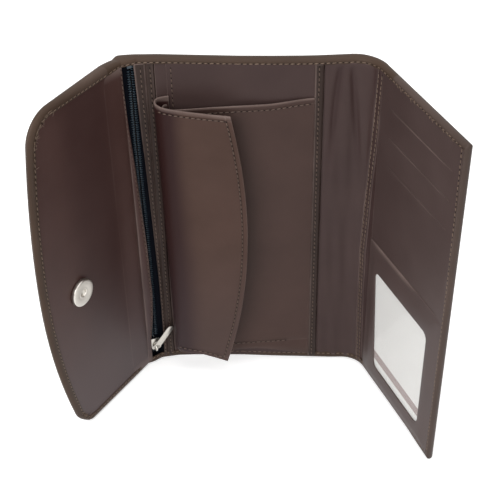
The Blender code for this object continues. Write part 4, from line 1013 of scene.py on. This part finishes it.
def makeCardLining():
    ends = (slitSet["start"], slitSet["start"] + slitSet["length"])
    columns = [0.02, 0.9, 2.0, 5.0, ends[0] - 0.4, ends[0], 12, 18, 27, 36.5, 46, 55, 61, ends[1], ends[1] + 0.4,
               66, 67.5, 69, 70.0]
    rowPlaces = [3.6, 5, 30, 60, 90, 120]
    for z in sorted(slitSet["heights"]):
        rowPlaces += [z - 3.0, z - slitSet["line"] - 0.35, z - slitSet["line"], z - slitSet["gap"] / 2,
                      z + slitSet["gap"] / 2, z + 1.2, z + 3.0]
    rowPlaces += [180, 185, 187.3]

    def liningPlace(x, z):
        y = 0.05 - 0.28 * smoothStep(60.0, 69.0, x) - 0.12 * smoothStep(182.0, 187.0, z)
        for slit in slitSet["heights"]:
            if z < slit:
                y -= slitSet["lip"] * slitReach(x) * smoothStep(slit - 2.6, slit - 0.1, z)
        return (x, y, z)

    work = loft([[liningPlace(x, z) for x in columns] for z in rowPlaces], fill=False)

    def inSlit(face):
        middle = face.calc_center_median()
        near = any(abs(middle.z - z) < slitSet["gap"] / 2 for z in slitSet["heights"])
        return near and ends[0] < middle.x < ends[1]

    bmesh.ops.delete(work, geom=[face for face in work.faces if inSlit(face)], context="FACES")
    # painted shade: the lining is darker towards the fold into the spine
    lining = addPiece("card_lining_skin", thicken(work, -0.6, 0.05), "card", "cardLiningWithSheen", wearAndHighlight=slitLipHighlight,
                      paintedShadeAt=lambda place: 0.22 * (1 - smoothStep(8.0, 44.0, place.x)))
    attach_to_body(lining, "card_panel")
    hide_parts("card_lining")


def sewCardPanel():
    seam = newSeam()
    right = cardPanelSet["width"] - coverSet["topStitch"] * cardNarrow
    top, foot = walletHeight - coverSet["topStitch"], coverSet["footStitch"]
    front, last = coverSet["stitchFront"], 69.6
    sewFlat(seam, [(coverSplits["card"], top), (last, top)], front, slant=14.0)
    sewFlat(seam, [(right - 1.6, 187.0), (right - 0.7, 150.0), (right, 110.0), (right, 5.0)], front, slant=12.0)
    sewFlat(seam, [(x, foot + cardRise(x)) for x in (coverSplits["card"], 30.0, 50.0, 62.0, last)], front)
    backLine = cardOutline(*([coverSet["backStitch"]] * 3), coverSplits["card"])
    sewFlat(seam, backLine, depths["card"] - stitchSet["into"], facing=1.0)
    draw = random.Random(5)
    for i in range(16):  # thread that stands up along the top edge
        x = 3.0 + 3.9 * i + draw.uniform(-1.0, 1.0)
        way = (1.0, -0.3, draw.uniform(-0.7, 0.5))
        looseThread(seam, (x, -0.62, top + draw.uniform(-0.7, 0.3)), way, draw.uniform(1.8, 3.4), 0.24)
    finishSeam("card_panel", seam, "card", lambda item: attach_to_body(item, "card_panel"))


windowSet = {"left": 0.02, "right": 69.9, "foot": 3.4, "head": 92.0, "x": (7.9, 59.9), "z": (14.8, 76.4),
             "lean": 5.0, "radius": 4.0, "back": -1.05, "seam": 3.4, "low": -0.46, "rise": 0.80}


def windowFront(x, z):
    # the pocket lies flat on the panel at its sides and stands off it round the window. Its head
    # is free between the seam and x = 52 and lies flush with the panel beyond that.
    side = smoothStep(0.3, 7.5, x) * (1 - smoothStep(61.0, 69.9, x))
    foot = 0.45 + 0.55 * smoothStep(3.4, 9.0, z)
    y = windowSet["low"] - side * foot * (windowSet["rise"] - 0.75 * smoothStep(80.0, 91.5, z))
    flush = smoothStep(88.9, 91.6, z) * smoothStep(44.0, 56.0, x)
    return y + flush * (0.12 - 0.28 * smoothStep(60.0, 69.0, x) - y)


# painted highlight along the pocket's free head
def windowHeadHighlight(place):
    if place.z > windowSet["head"] - 0.75 and place.y < -0.1:
        return smoothStep(1.0, 5.0, place.x) * (1 - smoothStep(34.0, 48.0, place.x))
    return 0.0


def makeWindowPocket():
    s = windowSet

    def outerRing(inset):
        return roundBlock(s["left"] + inset, s["right"] - inset, s["foot"] + inset, s["head"] - inset,
                          0.8 - inset * 0.15, 6)

    def windowRing(outset):
        # the opening's left side leans
        ring = roundBlock(s["x"][0] - outset, s["x"][1] + outset, s["z"][0] - outset, s["z"][1] + outset,
                          s["radius"] + outset, 6)
        middle = (s["x"][0] + s["x"][1]) / 2
        return [(x + s["lean"] * max(middle - x, 0.0) / 26.0 * (s["z"][1] - z) / 62.0, z) for x, z in ring]

    def onFront(ring, back=0.0):
        return [(x, windowFront(x, z) + back, z) for x, z in ring]

    def onBack(ring):
        return [(x, max(s["back"], windowFront(x, z) + 0.42), z) for x, z in ring]

    def onPanel(ring):
        # sewn down at the sides and the foot, and open at the top
        return [(x, y if z > s["head"] - 4.5 else -0.1, z) for x, y, z in onBack(ring)]

    outerFlat, windowFlat = outerRing(0.7), windowRing(3.0)
    rows = [onPanel(outerRing(0.0)), onFront(outerRing(0.0), 0.14), onFront(outerRing(0.1), 0.02)]
    for i in range(7):
        rows.append(onFront([(a + (c - a) * i / 6, b + (d - b) * i / 6)
                             for (a, b), (c, d) in zip(outerFlat, windowFlat)]))
    rows += [onFront(windowRing(0.5)), onFront(windowRing(0.1), 0.1), onFront(windowRing(0.0), 0.3),
             onBack(windowRing(0.0)), onBack(outerRing(s["seam"])), onPanel(outerRing(s["seam"]))]
    work = cutAcross(loft(rows + rows[:1], around=True, fill=False), 0, [3.0 * i for i in range(1, 23)])
    pocket = addPiece("window_pocket_skin", work, "card", "cardLiningWithSheen", wearAndHighlight=windowHeadHighlight, rimWearHighlight=0.25)
    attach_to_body(pocket, "card_panel")
    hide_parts("window_pocket")


makeCardCover()
makeCardLining()
sewCardPanel()
makeWindowPocket()
print("card panel is made")


# spine lining
# how far the double seam runs before the card panel's lining, by height
seamRun = [(1.0, -4.0), (42.0, -5.4), (80.0, -6.0), (112.0, -4.8), (150.0, -2.8), (187.2, -1.3924)]
spineLiningSet = {"left": 86.03,
                  # where each crease runs at its head and at its foot, its depth and its width
                  "creases": ((93.8, 89.6, 0.95, 1.9), (98.6, 104.8, 0.85, 1.5))}


def makeSpineLining():
    flatEnd = foldLines["spine"] + foldLines["spineFlat"]
    end = flatEnd + math.radians(cardTurn) * foldLines["spineRadius"] - 0.02
    left = spineLiningSet["left"]
    columns = [left + (end - left) * i / 84 for i in range(85)]
    rowPlaces = [3.0 + 2.6 * i for i in range(71)] + [187.2]

    def crease(x, z):
        fall = (1 - smoothStep(181.0, 187.0, z)) * smoothStep(112.0, 160.0, z)
        run = (188.0 - z) / 60.0
        return sum(deep * fall * bump(topX + (footX - topX) * run, width, x)
                   for topX, footX, deep, width in spineLiningSet["creases"])

    def creasePaintedShade(place):
        # painted shade: the leather is darker in its creases and beside the card panel
        reach = Vector(place[:2]) - spineCentre
        x = flatEnd + foldLines["spineRadius"] * math.atan2(reach.x, reach.y) if place.x > flatEnd else place.x
        return min(0.42 * crease(x, place.z) + 0.30 * smoothStep(end - 10.0, end - 3.0, x), 0.6)

    def liningPlace(x, z):
        y = -0.05 - 0.35 * math.sin(math.pi * min(max((x - 86.0) / (end - 86.0), 0.0), 1.0))
        y += 0.18 * math.sin(x * 0.9 + z * 0.035) * math.sin(z * 0.05 + 1.0) + crease(x, z)
        near = x - end - track(seamRun, z)
        y += 0.36 * bump(-1.9, 0.5, near) + 0.30 * bump(1.9, 0.5, near) - 0.30 * bump(0.0, 1.3, near)
        z += track(headRun, x) * smoothStep(165.0, 187.0, z)
        settle = smoothStep(end - 0.9, end, x)
        y = min(y + 0.45 * bump(86.0, 0.9, x), 0.4) * (1 - settle) + 0.05 * settle
        if x <= flatEnd:
            return (x, y, z)
        way = heading(90.0 - math.degrees((x - flatEnd) / foldLines["spineRadius"]))
        place = spineCentre + (foldLines["spineRadius"] + y) * way
        return (place.x, place.y, z)

    work = loft([[liningPlace(x, z) for x in columns] for z in rowPlaces], fill=False)
    lining = addPiece("spine_lining_skin", thicken(work, -0.5, 0.12), "centre", "spineLining", paintedShadeAt=creasePaintedShade)
    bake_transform(lining)
    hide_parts("spine_lining", "card_side_lining")
    seam = newSeam()
    for side in (-1, 1):
        line, facings = [], []
        for i in range(25):
            z = 4.5 + 181.0 * i / 24
            x = end + track(seamRun, z) + side * (0.75 + 0.4 * smoothStep(60.0, 180.0, z))
            way = heading(90.0 - math.degrees((x - flatEnd) / foldLines["spineRadius"]))
            place = Vector(liningPlace(x, z)) - 0.08 * Vector((way.x, way.y, 0.0))
            line.append(place)
            facings.append((-way.x, -way.y, 0.0))
        sew(seam, line, facings, length=2.3, width=0.44, hole=(0.7, 0.45, 0.2))
    finishSeam("spine_edge", seam, "centre",
               lambda item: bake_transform(item))


makeSpineLining()


# centre panel, its lining and pockets
centreSet = {  # left, right, foot and head of each flat piece
    "lining": (7.65, 85.85, 4.2, 187.6),
    "bill": (13.0, 81.9, 4.4, 187.4),
    "binding": (81.7, 85.75, 2.6, 187.4),
}


def makeCentre():
    section = [(0.6, 0.75), (0.0, 0.7), (0.0, 0.2), (0.15, 0.08), (0.5, 0.05)]
    work = liftHead(plate(*centreSet["lining"], section))
    lining = addPiece("back_lining_skin", work, "centre", "spineLining")
    bill = [(0.6, 0.0), (0.0, -0.02), (0.0, -0.24), (0.12, -0.36), (0.4, -0.43), (0.9, -0.45)]
    work = liftHead(plate(*centreSet["bill"], bill))
    billPanel = addPiece("bill_pocket_skin", work, "centre", "spineLining")
    edge = [(0.9, -0.02), (0.0, -0.02), (0.0, -0.45), (0.14, -0.70), (0.5, -0.92), (1.0, -1.0)]
    # the binding's left front edge is painted paler
    binding = addPiece("pocket_binding_skin", liftHead(plate(*centreSet["binding"], edge)), "centre", "strip",
                       wearAndHighlight=lambda place: 0.55 if place.x < 82.2 and place.y < -0.5 else 0.0)
    for piece, node in ((lining, "back_lining"), (billPanel, "bill_pocket_panel"),
                        (binding, "pocket_edge_binding")):
        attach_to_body(piece, "back_panel")
        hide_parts(node)
    seam = newSeam()
    sewFlat(seam, [(15.3, 8.0), (15.3, 186.3)], -0.43)
    sewFlat(seam, [(83.7, 4.5), (83.7, 186.3)], -0.99)
    finishSeam("centre", seam, "centre", lambda item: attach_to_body(item, "back_panel"), thread="threadDark")


pocketSet = {
    "path": [(13.2, -0.55), (11.4, -1.2), (10.4, -2.8), (10.6, -4.8), (12.3, -6.2), (15.5, -6.7), (22.0, -6.3),
             (34.0, -5.1), (48.0, -3.9), (65.0, -2.5), (81.9, -1.35)],
    "thick": 0.65, "headStitch": 2.9, "footStitch": 16.2,
}


def makeFrontPocket():
    path = smoothPath(pocketSet["path"])
    lengths = pathLengths(path)
    columns = [lengths[-1] * i / 60 for i in range(61)]

    def ends(x):
        return 11.5 - 6.5 * smoothStep(50.0, 86.0, x), 167.0 + 2.2 * smoothStep(58.0, 82.0, x)

    def pocketPlace(distance, z, groove=0.0):
        place = alongPath(path, lengths, distance)
        slack = 1.0 - 0.16 * math.sin(math.pi * z / 180.0) * smoothStep(16, 40, place.x)
        return (place.x, place.y * slack + 0.10 * groove, z)

    def column(distance):
        foot, head = ends(alongPath(path, lengths, distance).x)
        low, high = pocketSet["footStitch"], head - pocketSet["headStitch"]
        places = [foot, (foot + low - 0.4) / 2, low - 0.4, low, low + 0.4]
        places += [low + 0.4 + (high - low - 0.8) * i / 38 for i in range(1, 39)]
        places += [high, high + 0.4, head - 1.2, head]
        return [pocketPlace(distance, z, 1.0 if z in (low, high) else 0.0) for z in places]

    def pocketMouthPale(place):
        # the mouth's edge is painted paler
        return 0.75 * smoothStep(0.9, 0.2, ends(place.x)[1] - place.z) if place.z > 160 else 0.0

    rows = [list(row) for row in zip(*[column(distance) for distance in columns])]
    work = thicken(loft(rows, fill=False), pocketSet["thick"], 0.16)
    pocket = addPiece("front_pocket_skin", work, "centre", "lining", wearAndHighlight=pocketMouthPale)
    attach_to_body(pocket, "back_panel")
    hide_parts("front_pocket_panel")
    seam = newSeam()
    for last in (lengths[-1] - 1.5, lengths[-1] - 12.0):
        line = []
        for i in range(31):
            distance = 17.0 + (last - 17.0) * i / 30
            head = ends(alongPath(path, lengths, distance).x)[1] - pocketSet["headStitch"]
            x, y, z = pocketPlace(distance, head if last > lengths[-1] - 2 else pocketSet["footStitch"])
            line.append((x, y - pocketSet["thick"] / 2 - 0.02, z))
        sew(seam, line, [(0.05, -1.0, 0.0)] * len(line))
    finishSeam("front_pocket", seam, "centre", lambda item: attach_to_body(item, "back_panel"), thread="threadDark")


leafSet = {
    "root": [(13.6, -0.45), (11.2, -0.6), (8.6, -1.3), (7.0, -2.8), (6.7, -4.6), (7.2, -6.8), (9.2, -8.9),
             (12.4, -10.3), (17.0, -11.2), (23.0, -11.9), (31.0, -12.5), (42.0, -13.2), (56.0, -14.4)],
    "hinge": (10.0, -9.4), "foot": 11.6, "head": 171.4, "droop": 0.088, "footShift": 2.5, "thick": 0.9,
    "stitch": 2.6, "footRun": [(-8.0, 3.0), (0.0, 4.4), (14.0, 4.0), (21.0, 1.9), (28.0, -0.6)],
    "widths": ((27.0, 9.0), (40.0, 96.0), (32.5, 170.0)),
}


def leafWidth(z):
    # arc through the widths at the foot, the middle and the head
    a, b, c = (Vector(p) for p in leafSet["widths"])
    first, second = b - a, c - b
    normal = Vector((-first.y, first.x))
    cross = first.x * second.y - first.y * second.x
    centre = (a + b) / 2 - normal * (((b + c) / 2 - (a + b) / 2).dot(second) / -cross)
    radius = (a - centre).length
    return centre.x + math.sqrt(radius**2 - (z - centre.y) ** 2)


def makeLeaf():
    path = smoothPath(leafSet["root"])
    lengths = pathLengths(path)
    hingeLength = min(zip([(p - Vector(leafSet["hinge"])).length for p in path], lengths))[1]
    foot, head, gap = leafSet["foot"], leafSet["head"], leafSet["stitch"]
    inner = [hingeLength * i / 14 for i in range(14)] + [hingeLength + 0.6 * i for i in range(9)]
    levels = [0.0, 0.8, gap - 0.4, gap, gap + 0.4]
    rowShares = [(level, 0.0) for level in levels]
    rowShares += [(gap + 0.4, i / 42) for i in range(1, 42)]
    rowShares += [(-level, 1.0) for level in levels[::-1]]

    def heightAt(distance, offset, share):
        # offset from the foot (+) or the head (-), and the share of the way between them
        top = head - leafSet["droop"] * distance
        low = foot + track(leafSet["footRun"], distance - hingeLength)
        if share == 0.0:
            return low + offset
        if share == 1.0:
            return top + offset
        return low + offset + (top - low - 2 * offset) * share

    def columnsAt(z):
        reach = leafWidth(min(max(z, 9.0), 170.0)) - 0.3
        start, stop = 4.8, reach - 3.6
        middle = [hingeLength + start + (stop - start) * i / 18 for i in range(1, 19)]
        edge = [hingeLength + reach - d for d in (gap + 0.4, gap, gap - 0.4, 1.6, 0.8, 0.0)]
        return inner + middle + edge

    def leafPlace(distance, z, groove=0.0):
        place = alongPath(path, lengths, distance)
        free = smoothStep(hingeLength, hingeLength + 30.0, distance)
        root = 1 - smoothStep(hingeLength, hingeLength + 14.0, distance)
        low = 1 - (z - foot) / (head - foot)
        x = place.x + leafSet["footShift"] * root * low * smoothStep(0.0, 6.0, distance)
        y = place.y - 0.5 * free * math.sin(z * 0.045 + 0.6) + 0.12 * groove * free
        return (x, y, z)

    def leafPaintedShade(place):
        # painted shade: darkest where the leaf turns into the pocket's side
        return 1.1 * (1 - smoothStep(11.5, 25.0 + 3.0 * math.sin(place.z * 0.03), place.x))

    def leafHeadHighlight(place):
        # painted highlight along the cut edge of the head
        top = head - leafSet["droop"] * (place.x + 6.0)
        return 0.7 * smoothStep(top - 1.6, top - 0.4, place.z) if place.x < 46 else 0.0

    rows = []
    for offset, share in rowShares:
        columns = columnsAt(heightAt(40.0, offset, share))
        row = []
        for number, distance in enumerate(columns):
            groove = 1.0 if abs(abs(offset) - gap) < 0.01 and share in (0.0, 1.0) else 0.0
            if number == len(columns) - 5:
                groove = 1.0
            row.append(leafPlace(distance, heightAt(distance, offset, share), groove))
        rows.append(row)
    # painted sheen: paler towards the foot, a painted reflection of the white floor
    def leafPaintedSheen(place):
        return 0.10 * (1 - smoothStep(8.0, 110.0, place.z))

    leaf = addPiece("leaf_skin", thicken(loft(rows, fill=False), leafSet["thick"], 0.28), "centre", "leaf",
                    wearAndHighlight=leafHeadHighlight, paintedShadeAt=leafPaintedShade, paintedSheenAt=leafPaintedSheen)
    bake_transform(leaf)
    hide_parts("leaf_front_ply", "leaf_back_ply")
    seam = newSeam()

    def sewLeaf(places):
        line = []
        for distance, z in places:
            x, y, height = leafPlace(distance, z)
            line.append((x, y - leafSet["thick"] / 2 + 0.06, height))
        sew(seam, line, [(0.1, -1.0, 0.0)] * len(line), width=0.6)

    first = hingeLength - 1.5
    for share, offset in ((1.0, -gap), (0.0, gap)):
        last = columnsAt(heightAt(40.0, offset, share))[-1] - gap
        spots = [first + (last - first) * i / 20 for i in range(21)]
        sewLeaf([(spot, heightAt(spot, offset, share)) for spot in spots])
    edge = []
    for i in range(51):
        z = heightAt(40.0, gap, i / 50) if 0 < i < 50 else heightAt(40.0, -gap if i else gap, float(i > 0))
        edge.append((columnsAt(z)[-1] - gap, z))
    sewLeaf(edge)
    finishSeam("leaf", seam, "centre", lambda item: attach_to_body(item, "leaf"), thread="threadDark")


makeCentre()
makeFrontPocket()
makeLeaf()
print("centre panel, pockets and leaf are made")


# fold strips beside the zip
def upright(section, foot, head, rounding=0.5, slide=None):
    # a strip with the given outline of (x, y) in plan, drawn in a little at both ends; slide moves
    # its x and y with the height
    middle = Vector((sum(x for x, _ in section) / len(section), sum(y for _, y in section) / len(section)))
    levels = [(foot, 0.94), (foot + rounding, 1.0), (head - rounding, 1.0), (head, 0.94)]
    if slide:
        levels[2:2] = [(foot + (head - foot) * i / 16, 1.0) for i in range(1, 16)]
    rows = []
    for z, share in levels:
        ring = [(middle.x + (x - middle.x) * share, middle.y + (y - middle.y) * share) for x, y in section]
        rows.append([(*(slide(x, y, z) if slide else (x, y)), z) for x, y in ring])
    return loft(rows, around=True)


stripSet = {"right": 3.35, "lean": 0.46, "ends": (4.4, 188.2), "liningEnds": (4.2, 188.4),
            "leftRun": [(0.0, 1.7), (30.0, 2.1), (60.0, 2.0), (95.0, 1.1), (130.0, 0.1), (160.0, -0.9),
                        (188.0, -1.6)]}


def stripSlide(x, y, z):
    # the strip is wide at its top, where it bends over the tape, and narrows towards its foot
    right, left = stripSet["right"], track(stripSet["leftRun"], z)
    moved = right - (right - x) * (right - left) / right
    return moved, y + stripSet["lean"] * min(moved, 0.0)


def makeFoldStrips():
    edge = [(0.0, -0.05), (0.0, -0.55), (0.2, -0.82), (0.7, -0.98), (1.6, -1.02), (2.6, -0.98), (3.0, -0.82),
            (3.3, -0.5), (3.35, -0.05)]
    strip = addPiece("zip_edge_skin", upright(edge, *stripSet["ends"], slide=stripSlide), "centre", "strip")
    fold = [(2.5, 0.75), (2.5, 0.05), (3.5, 0.05), (3.7, -0.12), (4.05, -0.36), (4.8, -0.48), (6.0, -0.46),
            (6.9, -0.30), (7.25, 0.0), (7.35, 0.4), (7.3, 0.75)]
    lining = addPiece("fold_lining_skin", upright(fold, *stripSet["liningEnds"]), "centre", "strip")
    for piece, node in ((strip, "zip_edge_strip"), (lining, "fold_lining")):
        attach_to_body(piece, "left_fold")
        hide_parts(node)
    seam = newSeam()
    heights = [7.0 + 179.5 * i / 24 for i in range(25)]
    sewFlat(seam, [(stripSlide(2.0, 0.0, z)[0], z) for z in heights], -1.0)
    sewFlat(seam, [(5.8, z) for z in heights], -0.48)
    finishSeam("fold", seam, "centre", lambda item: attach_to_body(item, "left_fold"), thread="threadDark")


makeFoldStrips()


# zip
zipSet = {"middle": 4.9, "teethDepth": 1.8, "foot": 18.5, "head": 185.4, "pitch": 1.30, "slot": 0.10,
          "tooth": (1.85, 1.6, 0.74), "toothTurn": 9.0, "tapeEnds": (2.6, 188.8),
          "stopHalf": 1.8, "stopHeight": 2.0}


def makeZipTapes():
    m, y = zipSet["middle"], zipSet["teethDepth"]
    for side, edge, node in ((-1, 0.3, "zip_tape_flap_side"), (1, 7.65, "zip_tape_centre_side")):
        inner = m + side * 0.32
        section = [(inner, y + 0.55), (inner, y + 0.15), ((inner + edge) / 2, y - 0.1), (edge, y - 0.25)]
        if side > 0:  # its sewn edge runs on behind the strip
            section += [(10.5, 0.0), (10.6, 0.4)]
        section += [(edge, y + 0.15), ((inner + edge) / 2, y + 0.3)]
        tape = addPiece(node + "_skin", upright(section, *zipSet["tapeEnds"]), "zip", "zipTape")
        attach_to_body(tape, "left_fold")
        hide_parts(node)


def makeZipTeeth():
    m, y = zipSet["middle"], zipSet["teethDepth"]
    count = int((zipSet["head"] - zipSet["foot"]) / zipSet["pitch"])
    for side, node in ((-1, "zip_teeth_flap_side"), (1, "zip_teeth_centre_side")):
        work = bmesh.new()
        for i in range(count):
            z = zipSet["foot"] + (i + 0.5 + 0.25 * side) * zipSet["pitch"]
            centre = m + side * (zipSet["slot"] + zipSet["tooth"][0] / 2) + 0.7 * bump(62.0, 42.0, z)
            turn = Matrix.Rotation(math.radians(zipSet["toothTurn"] * side), 4, "Y")
            place = Matrix.Translation((centre, y, z)) @ turn @ Matrix.Diagonal((*zipSet["tooth"], 1.0))
            bmesh.ops.create_uvsphere(work, u_segments=6, v_segments=6, radius=0.5,
                                      matrix=place @ Matrix.Rotation(math.pi / 2, 4, "Y"))
        teeth = addPiece(node + "_skin", work, "zip", "zipCoil", sharp=80.0)
        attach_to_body(teeth, "left_fold")
        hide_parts(node)


def makeZipStops():
    m, y, half = zipSet["middle"], zipSet["teethDepth"], zipSet["stopHalf"]
    section = [(0.3, y + 0.8), (0.0, y + 0.55), (0.0, y - 0.55), (0.12, y - 0.75), (0.4, y - 0.85)]
    for node, foot, finish in (("zip_bottom_stop", 7.3, "darkMetal"), ("zip_top_stop", 185.5, "zipCoil")):
        work = plate(m - half, m + half, foot, foot + zipSet["stopHeight"], section, 0.4)
        stop = addPiece(node + "_clamp", work, "zip", finish)
        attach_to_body(stop, "left_fold")
        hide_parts(node)


sliderSet = {"foot": 9.5, "height": 7.8, "rounding": 0.22, "plates": ((0.0, 0.72), (2.88, 3.6)),
             "flange": (2.3, 2.7), "flangeDepths": ((0.5, 1.25), (2.35, 3.1)), "post": 0.07,
             "bar": 0.4, "crown": -1.9}


def slidePlate(front, back, rounding):
    # one plate of the slider: wide at the head, narrow at the foot
    m, foot, head = zipSet["middle"], sliderSet["foot"], sliderSet["foot"] + sliderSet["height"]
    outline = [(-1.5, foot), (1.5, foot), (2.1, foot + 0.9), (2.7, head - 3.0), (2.7, head - 1.0),
               (2.1, head - 0.15), (1.0, head), (0.0, head - 0.4), (-1.0, head), (-2.1, head - 0.15),
               (-2.7, head - 1.0), (-2.7, head - 3.0), (-2.1, foot + 0.9)]
    middleZ = (foot + head) / 2
    rows = []
    for y, share in ((back, 0.94), (back - rounding, 1.0), (front + rounding, 1.0), (front, 0.88)):
        rows.append([(m + x * share, y, middleZ + (z - middleZ) * share) for x, z in outline])
    return loft(rows, around=True)


def joinWork(target, source):
    mesh = meshFrom("joining", source)
    target.from_mesh(mesh)
    bpy.data.meshes.remove(mesh)


def tube(path, radius, steps=10, wide=1.0):
    # round bar along a path of points, closed at both ends
    points = [Vector(p) for p in path]
    rows = []
    side = Vector((1.0, 0.0, 0.0))
    for i, point in enumerate(points):
        way = (points[min(i + 1, len(points) - 1)] - points[max(i - 1, 0)]).normalized()
        side = squareTo(way, side)
        up = way.cross(side)
        rows.append([tuple(point + radius * (wide * math.cos(a) * side + math.sin(a) * up))
                     for a in (2 * math.pi * k / steps for k in range(steps))])
    return loft(rows, around=True)


def makeSlider():
    m, foot, head = zipSet["middle"], sliderSet["foot"], sliderSet["foot"] + sliderSet["height"]
    work, backPlate = (slidePlate(*depth, sliderSet["rounding"]) for depth in sliderSet["plates"])
    joinWork(work, backPlate)
    for side in (-1, 1):
        for y0, y1 in sliderSet["flangeDepths"]:
            x0, x1 = sorted(m + side * x for x in sliderSet["flange"])
            joinWork(work, plate(x0, x1, foot + 2.2, head - 1.0, [(0.08, y1), (0, y1 - 0.1), (0, y0)], 0.15))
    post = sliderSet["post"]
    joinWork(work, plate(m - post, m + post, foot, foot + 1.4, [(0.01, 2.95), (0, 2.9), (0, 0.6)], 0.05))
    crown, low = sliderSet["crown"], foot - 0.15
    arch = [(m, 0.5, low + 3.4), (m, -0.6, low + 3.4), (m, -1.3, low + 3.15), (m, -1.78, low + 2.5),
            (m, crown, low + 1.7), (m, -1.78, low + 0.9), (m, -1.3, low + 0.25), (m, -0.6, low), (m, 0.5, low)]
    joinWork(work, tube(arch, sliderSet["bar"], wide=1.5))
    slider = addPiece("slider_body", work, "zip", "nickel", sharp=35.0)
    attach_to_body(slider, "slider")
    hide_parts("zip_slider")


pullerFrame = Matrix(((0.886409, -0.367156, 0.281913, -0.0495381), (0.394655, 0.917691, -0.045723, 0.0332162),
                      (-0.241922, 0.151788, 0.95835, 0.0104701), (0.0, 0.0, 0.0, 1.0)))


pullerSet = {"lean": 12.0, "tilt": 6.0,  # degrees that the tab hangs to the right and away from the strips
             "eye": (1.85, 2.3, 1.4), "tip": 20.2, "half": 1.95, "tipHalf": 1.75}


def makePuller():
    eyeZ, eyeR, hole = pullerSet["eye"]
    tip, half, tipHalf = pullerSet["tip"], pullerSet["half"], pullerSet["tipHalf"]
    neck = math.degrees(math.asin(half / eyeR))
    outline = arcPoints((0.0, eyeZ), eyeR, 90 + neck, 450 - neck, 22)
    outline += [(half, eyeZ + 3.0), (half * 0.96, eyeZ + 7.0), (tipHalf * 1.1, tip - 2.4)]
    outline += arcPoints((0.0, tip - tipHalf), tipHalf, 10, 170, 8)
    outline += [(-tipHalf * 1.1, tip - 2.4), (-half * 0.96, eyeZ + 7.0), (-half, eyeZ + 3.0)]
    # the hole gets as many points as the outline, each facing the outline's own
    ring = []
    for x, z in outline:
        way = Vector((x, z - eyeZ)).normalized()
        ring.append((way.x * hole, eyeZ + way.y * hole))
    middle = eyeZ + 4.0

    def drawn(points, share, y):
        return [(x * share, y, middle + (z - middle) * (1 - (1 - share) * 0.35)) for x, z in points]

    def holeRow(grow, y):
        return [(x * grow, y, eyeZ + (z - eyeZ) * grow) for x, z in ring]

    rows = [drawn(outline, 1.0, 0.18), drawn(outline, 1.0, -0.18), drawn(outline, 0.9, -0.34),
            holeRow(1.12, -0.34), holeRow(1.0, -0.2), holeRow(1.0, 0.2), holeRow(1.12, 0.34),
            drawn(outline, 0.9, 0.34)]
    work = loft(rows + rows[:1], around=True, fill=False)
    eye = Vector((0.0, 0.0, eyeZ))
    tilt, lean = (math.radians(pullerSet[key]) for key in ("tilt", "lean"))
    turn = Matrix.Rotation(tilt, 3, "X") @ Matrix.Rotation(lean, 3, "Y")
    bmesh.ops.rotate(work, cent=eye, matrix=turn, verts=work.verts)
    bmesh.ops.transform(work, matrix=pullerFrame @ Matrix.Scale(mm, 4), verts=work.verts)
    puller = addPiece("puller_tab", work, None, "nickel", sharp=35.0)
    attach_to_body(puller, "puller")
    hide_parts("zip_puller")


makeZipTapes()
makeZipTeeth()
makeZipStops()
makeSlider()
makePuller()
print("zip is made")


# snap
def turned(profile, steps=48):
    # round piece about the y axis from (radius, y) pairs
    work = bmesh.new()
    verts = [work.verts.new((r, y, 0.0)) for r, y in profile]
    edges = [work.edges.new(pair) for pair in zip(verts, verts[1:])]
    bmesh.ops.spin(work, geom=verts + edges, cent=(0, 0, 0), axis=(0, 1, 0), angle=2 * math.pi, steps=steps,
                   use_merge=True)
    bmesh.ops.remove_doubles(work, verts=work.verts, dist=0.002)
    bmesh.ops.recalc_face_normals(work, faces=work.faces)
    return work


snapSet = {"height": 87.0, "onFlap": -46.0, "onCard": 35.751}


def makeSnap():
    face = [(0.0, -0.95), (1.6, -0.95), (1.8, -1.15), (1.86, -2.0), (2.0, -2.22), (2.3, -2.3), (2.7, -2.25),
            (3.2, -2.25), (3.6, -2.32), (6.4, -2.36), (6.9, -2.3), (7.15, -2.1), (7.25, -1.8), (7.25, -0.5),
            (7.05, -0.2), (0.0, -0.2)]
    work = turned(face)
    bmesh.ops.translate(work, vec=(snapSet["onFlap"], 0.0, snapSet["height"]), verts=work.verts)
    socket = addPiece("snap_socket_cap", work, "flap", "nickel", sharp=50.0)
    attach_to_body(socket, "flap")
    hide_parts("snap_socket")
    base = depths["card"] + 0.2
    stud = [(0.0, base + 2.6), (1.1, base + 2.6), (1.55, base + 2.4), (1.7, base + 2.0), (1.7, base + 1.1),
            (2.0, base + 0.86), (3.0, base + 0.72), (5.6, base + 0.72), (6.2, base + 0.8), (6.8, base + 0.66),
            (7.15, base + 0.4), (7.25, base), (0.0, base)]
    work = turned(stud)
    bmesh.ops.translate(work, vec=(snapSet["onCard"], 0.0, snapSet["height"]), verts=work.verts)
    cap = addPiece("snap_stud_cap", work, "card", "nickel", sharp=50.0)
    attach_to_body(cap, "card_panel")
    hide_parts("snap_stud")


makeSnap()

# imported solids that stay
keptNodes = {"back_board": "board", "card_board": "board", "zip_pocket_bag": "pocketCloth",
             "card_pocket_cloth": "pocketCloth", "socket_washer": "nickel", "stud_washer": "nickel",
             "window_film": "film", "display_card": "card"}
for node, finish in keptNodes.items():
    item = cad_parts[node]
    item.data.materials.clear()
    item.data.materials.append(finishes[finish])
print("snap, boards, cloth, film and card are finished")

bpy.context.scene.view_settings.view_transform = "Standard"
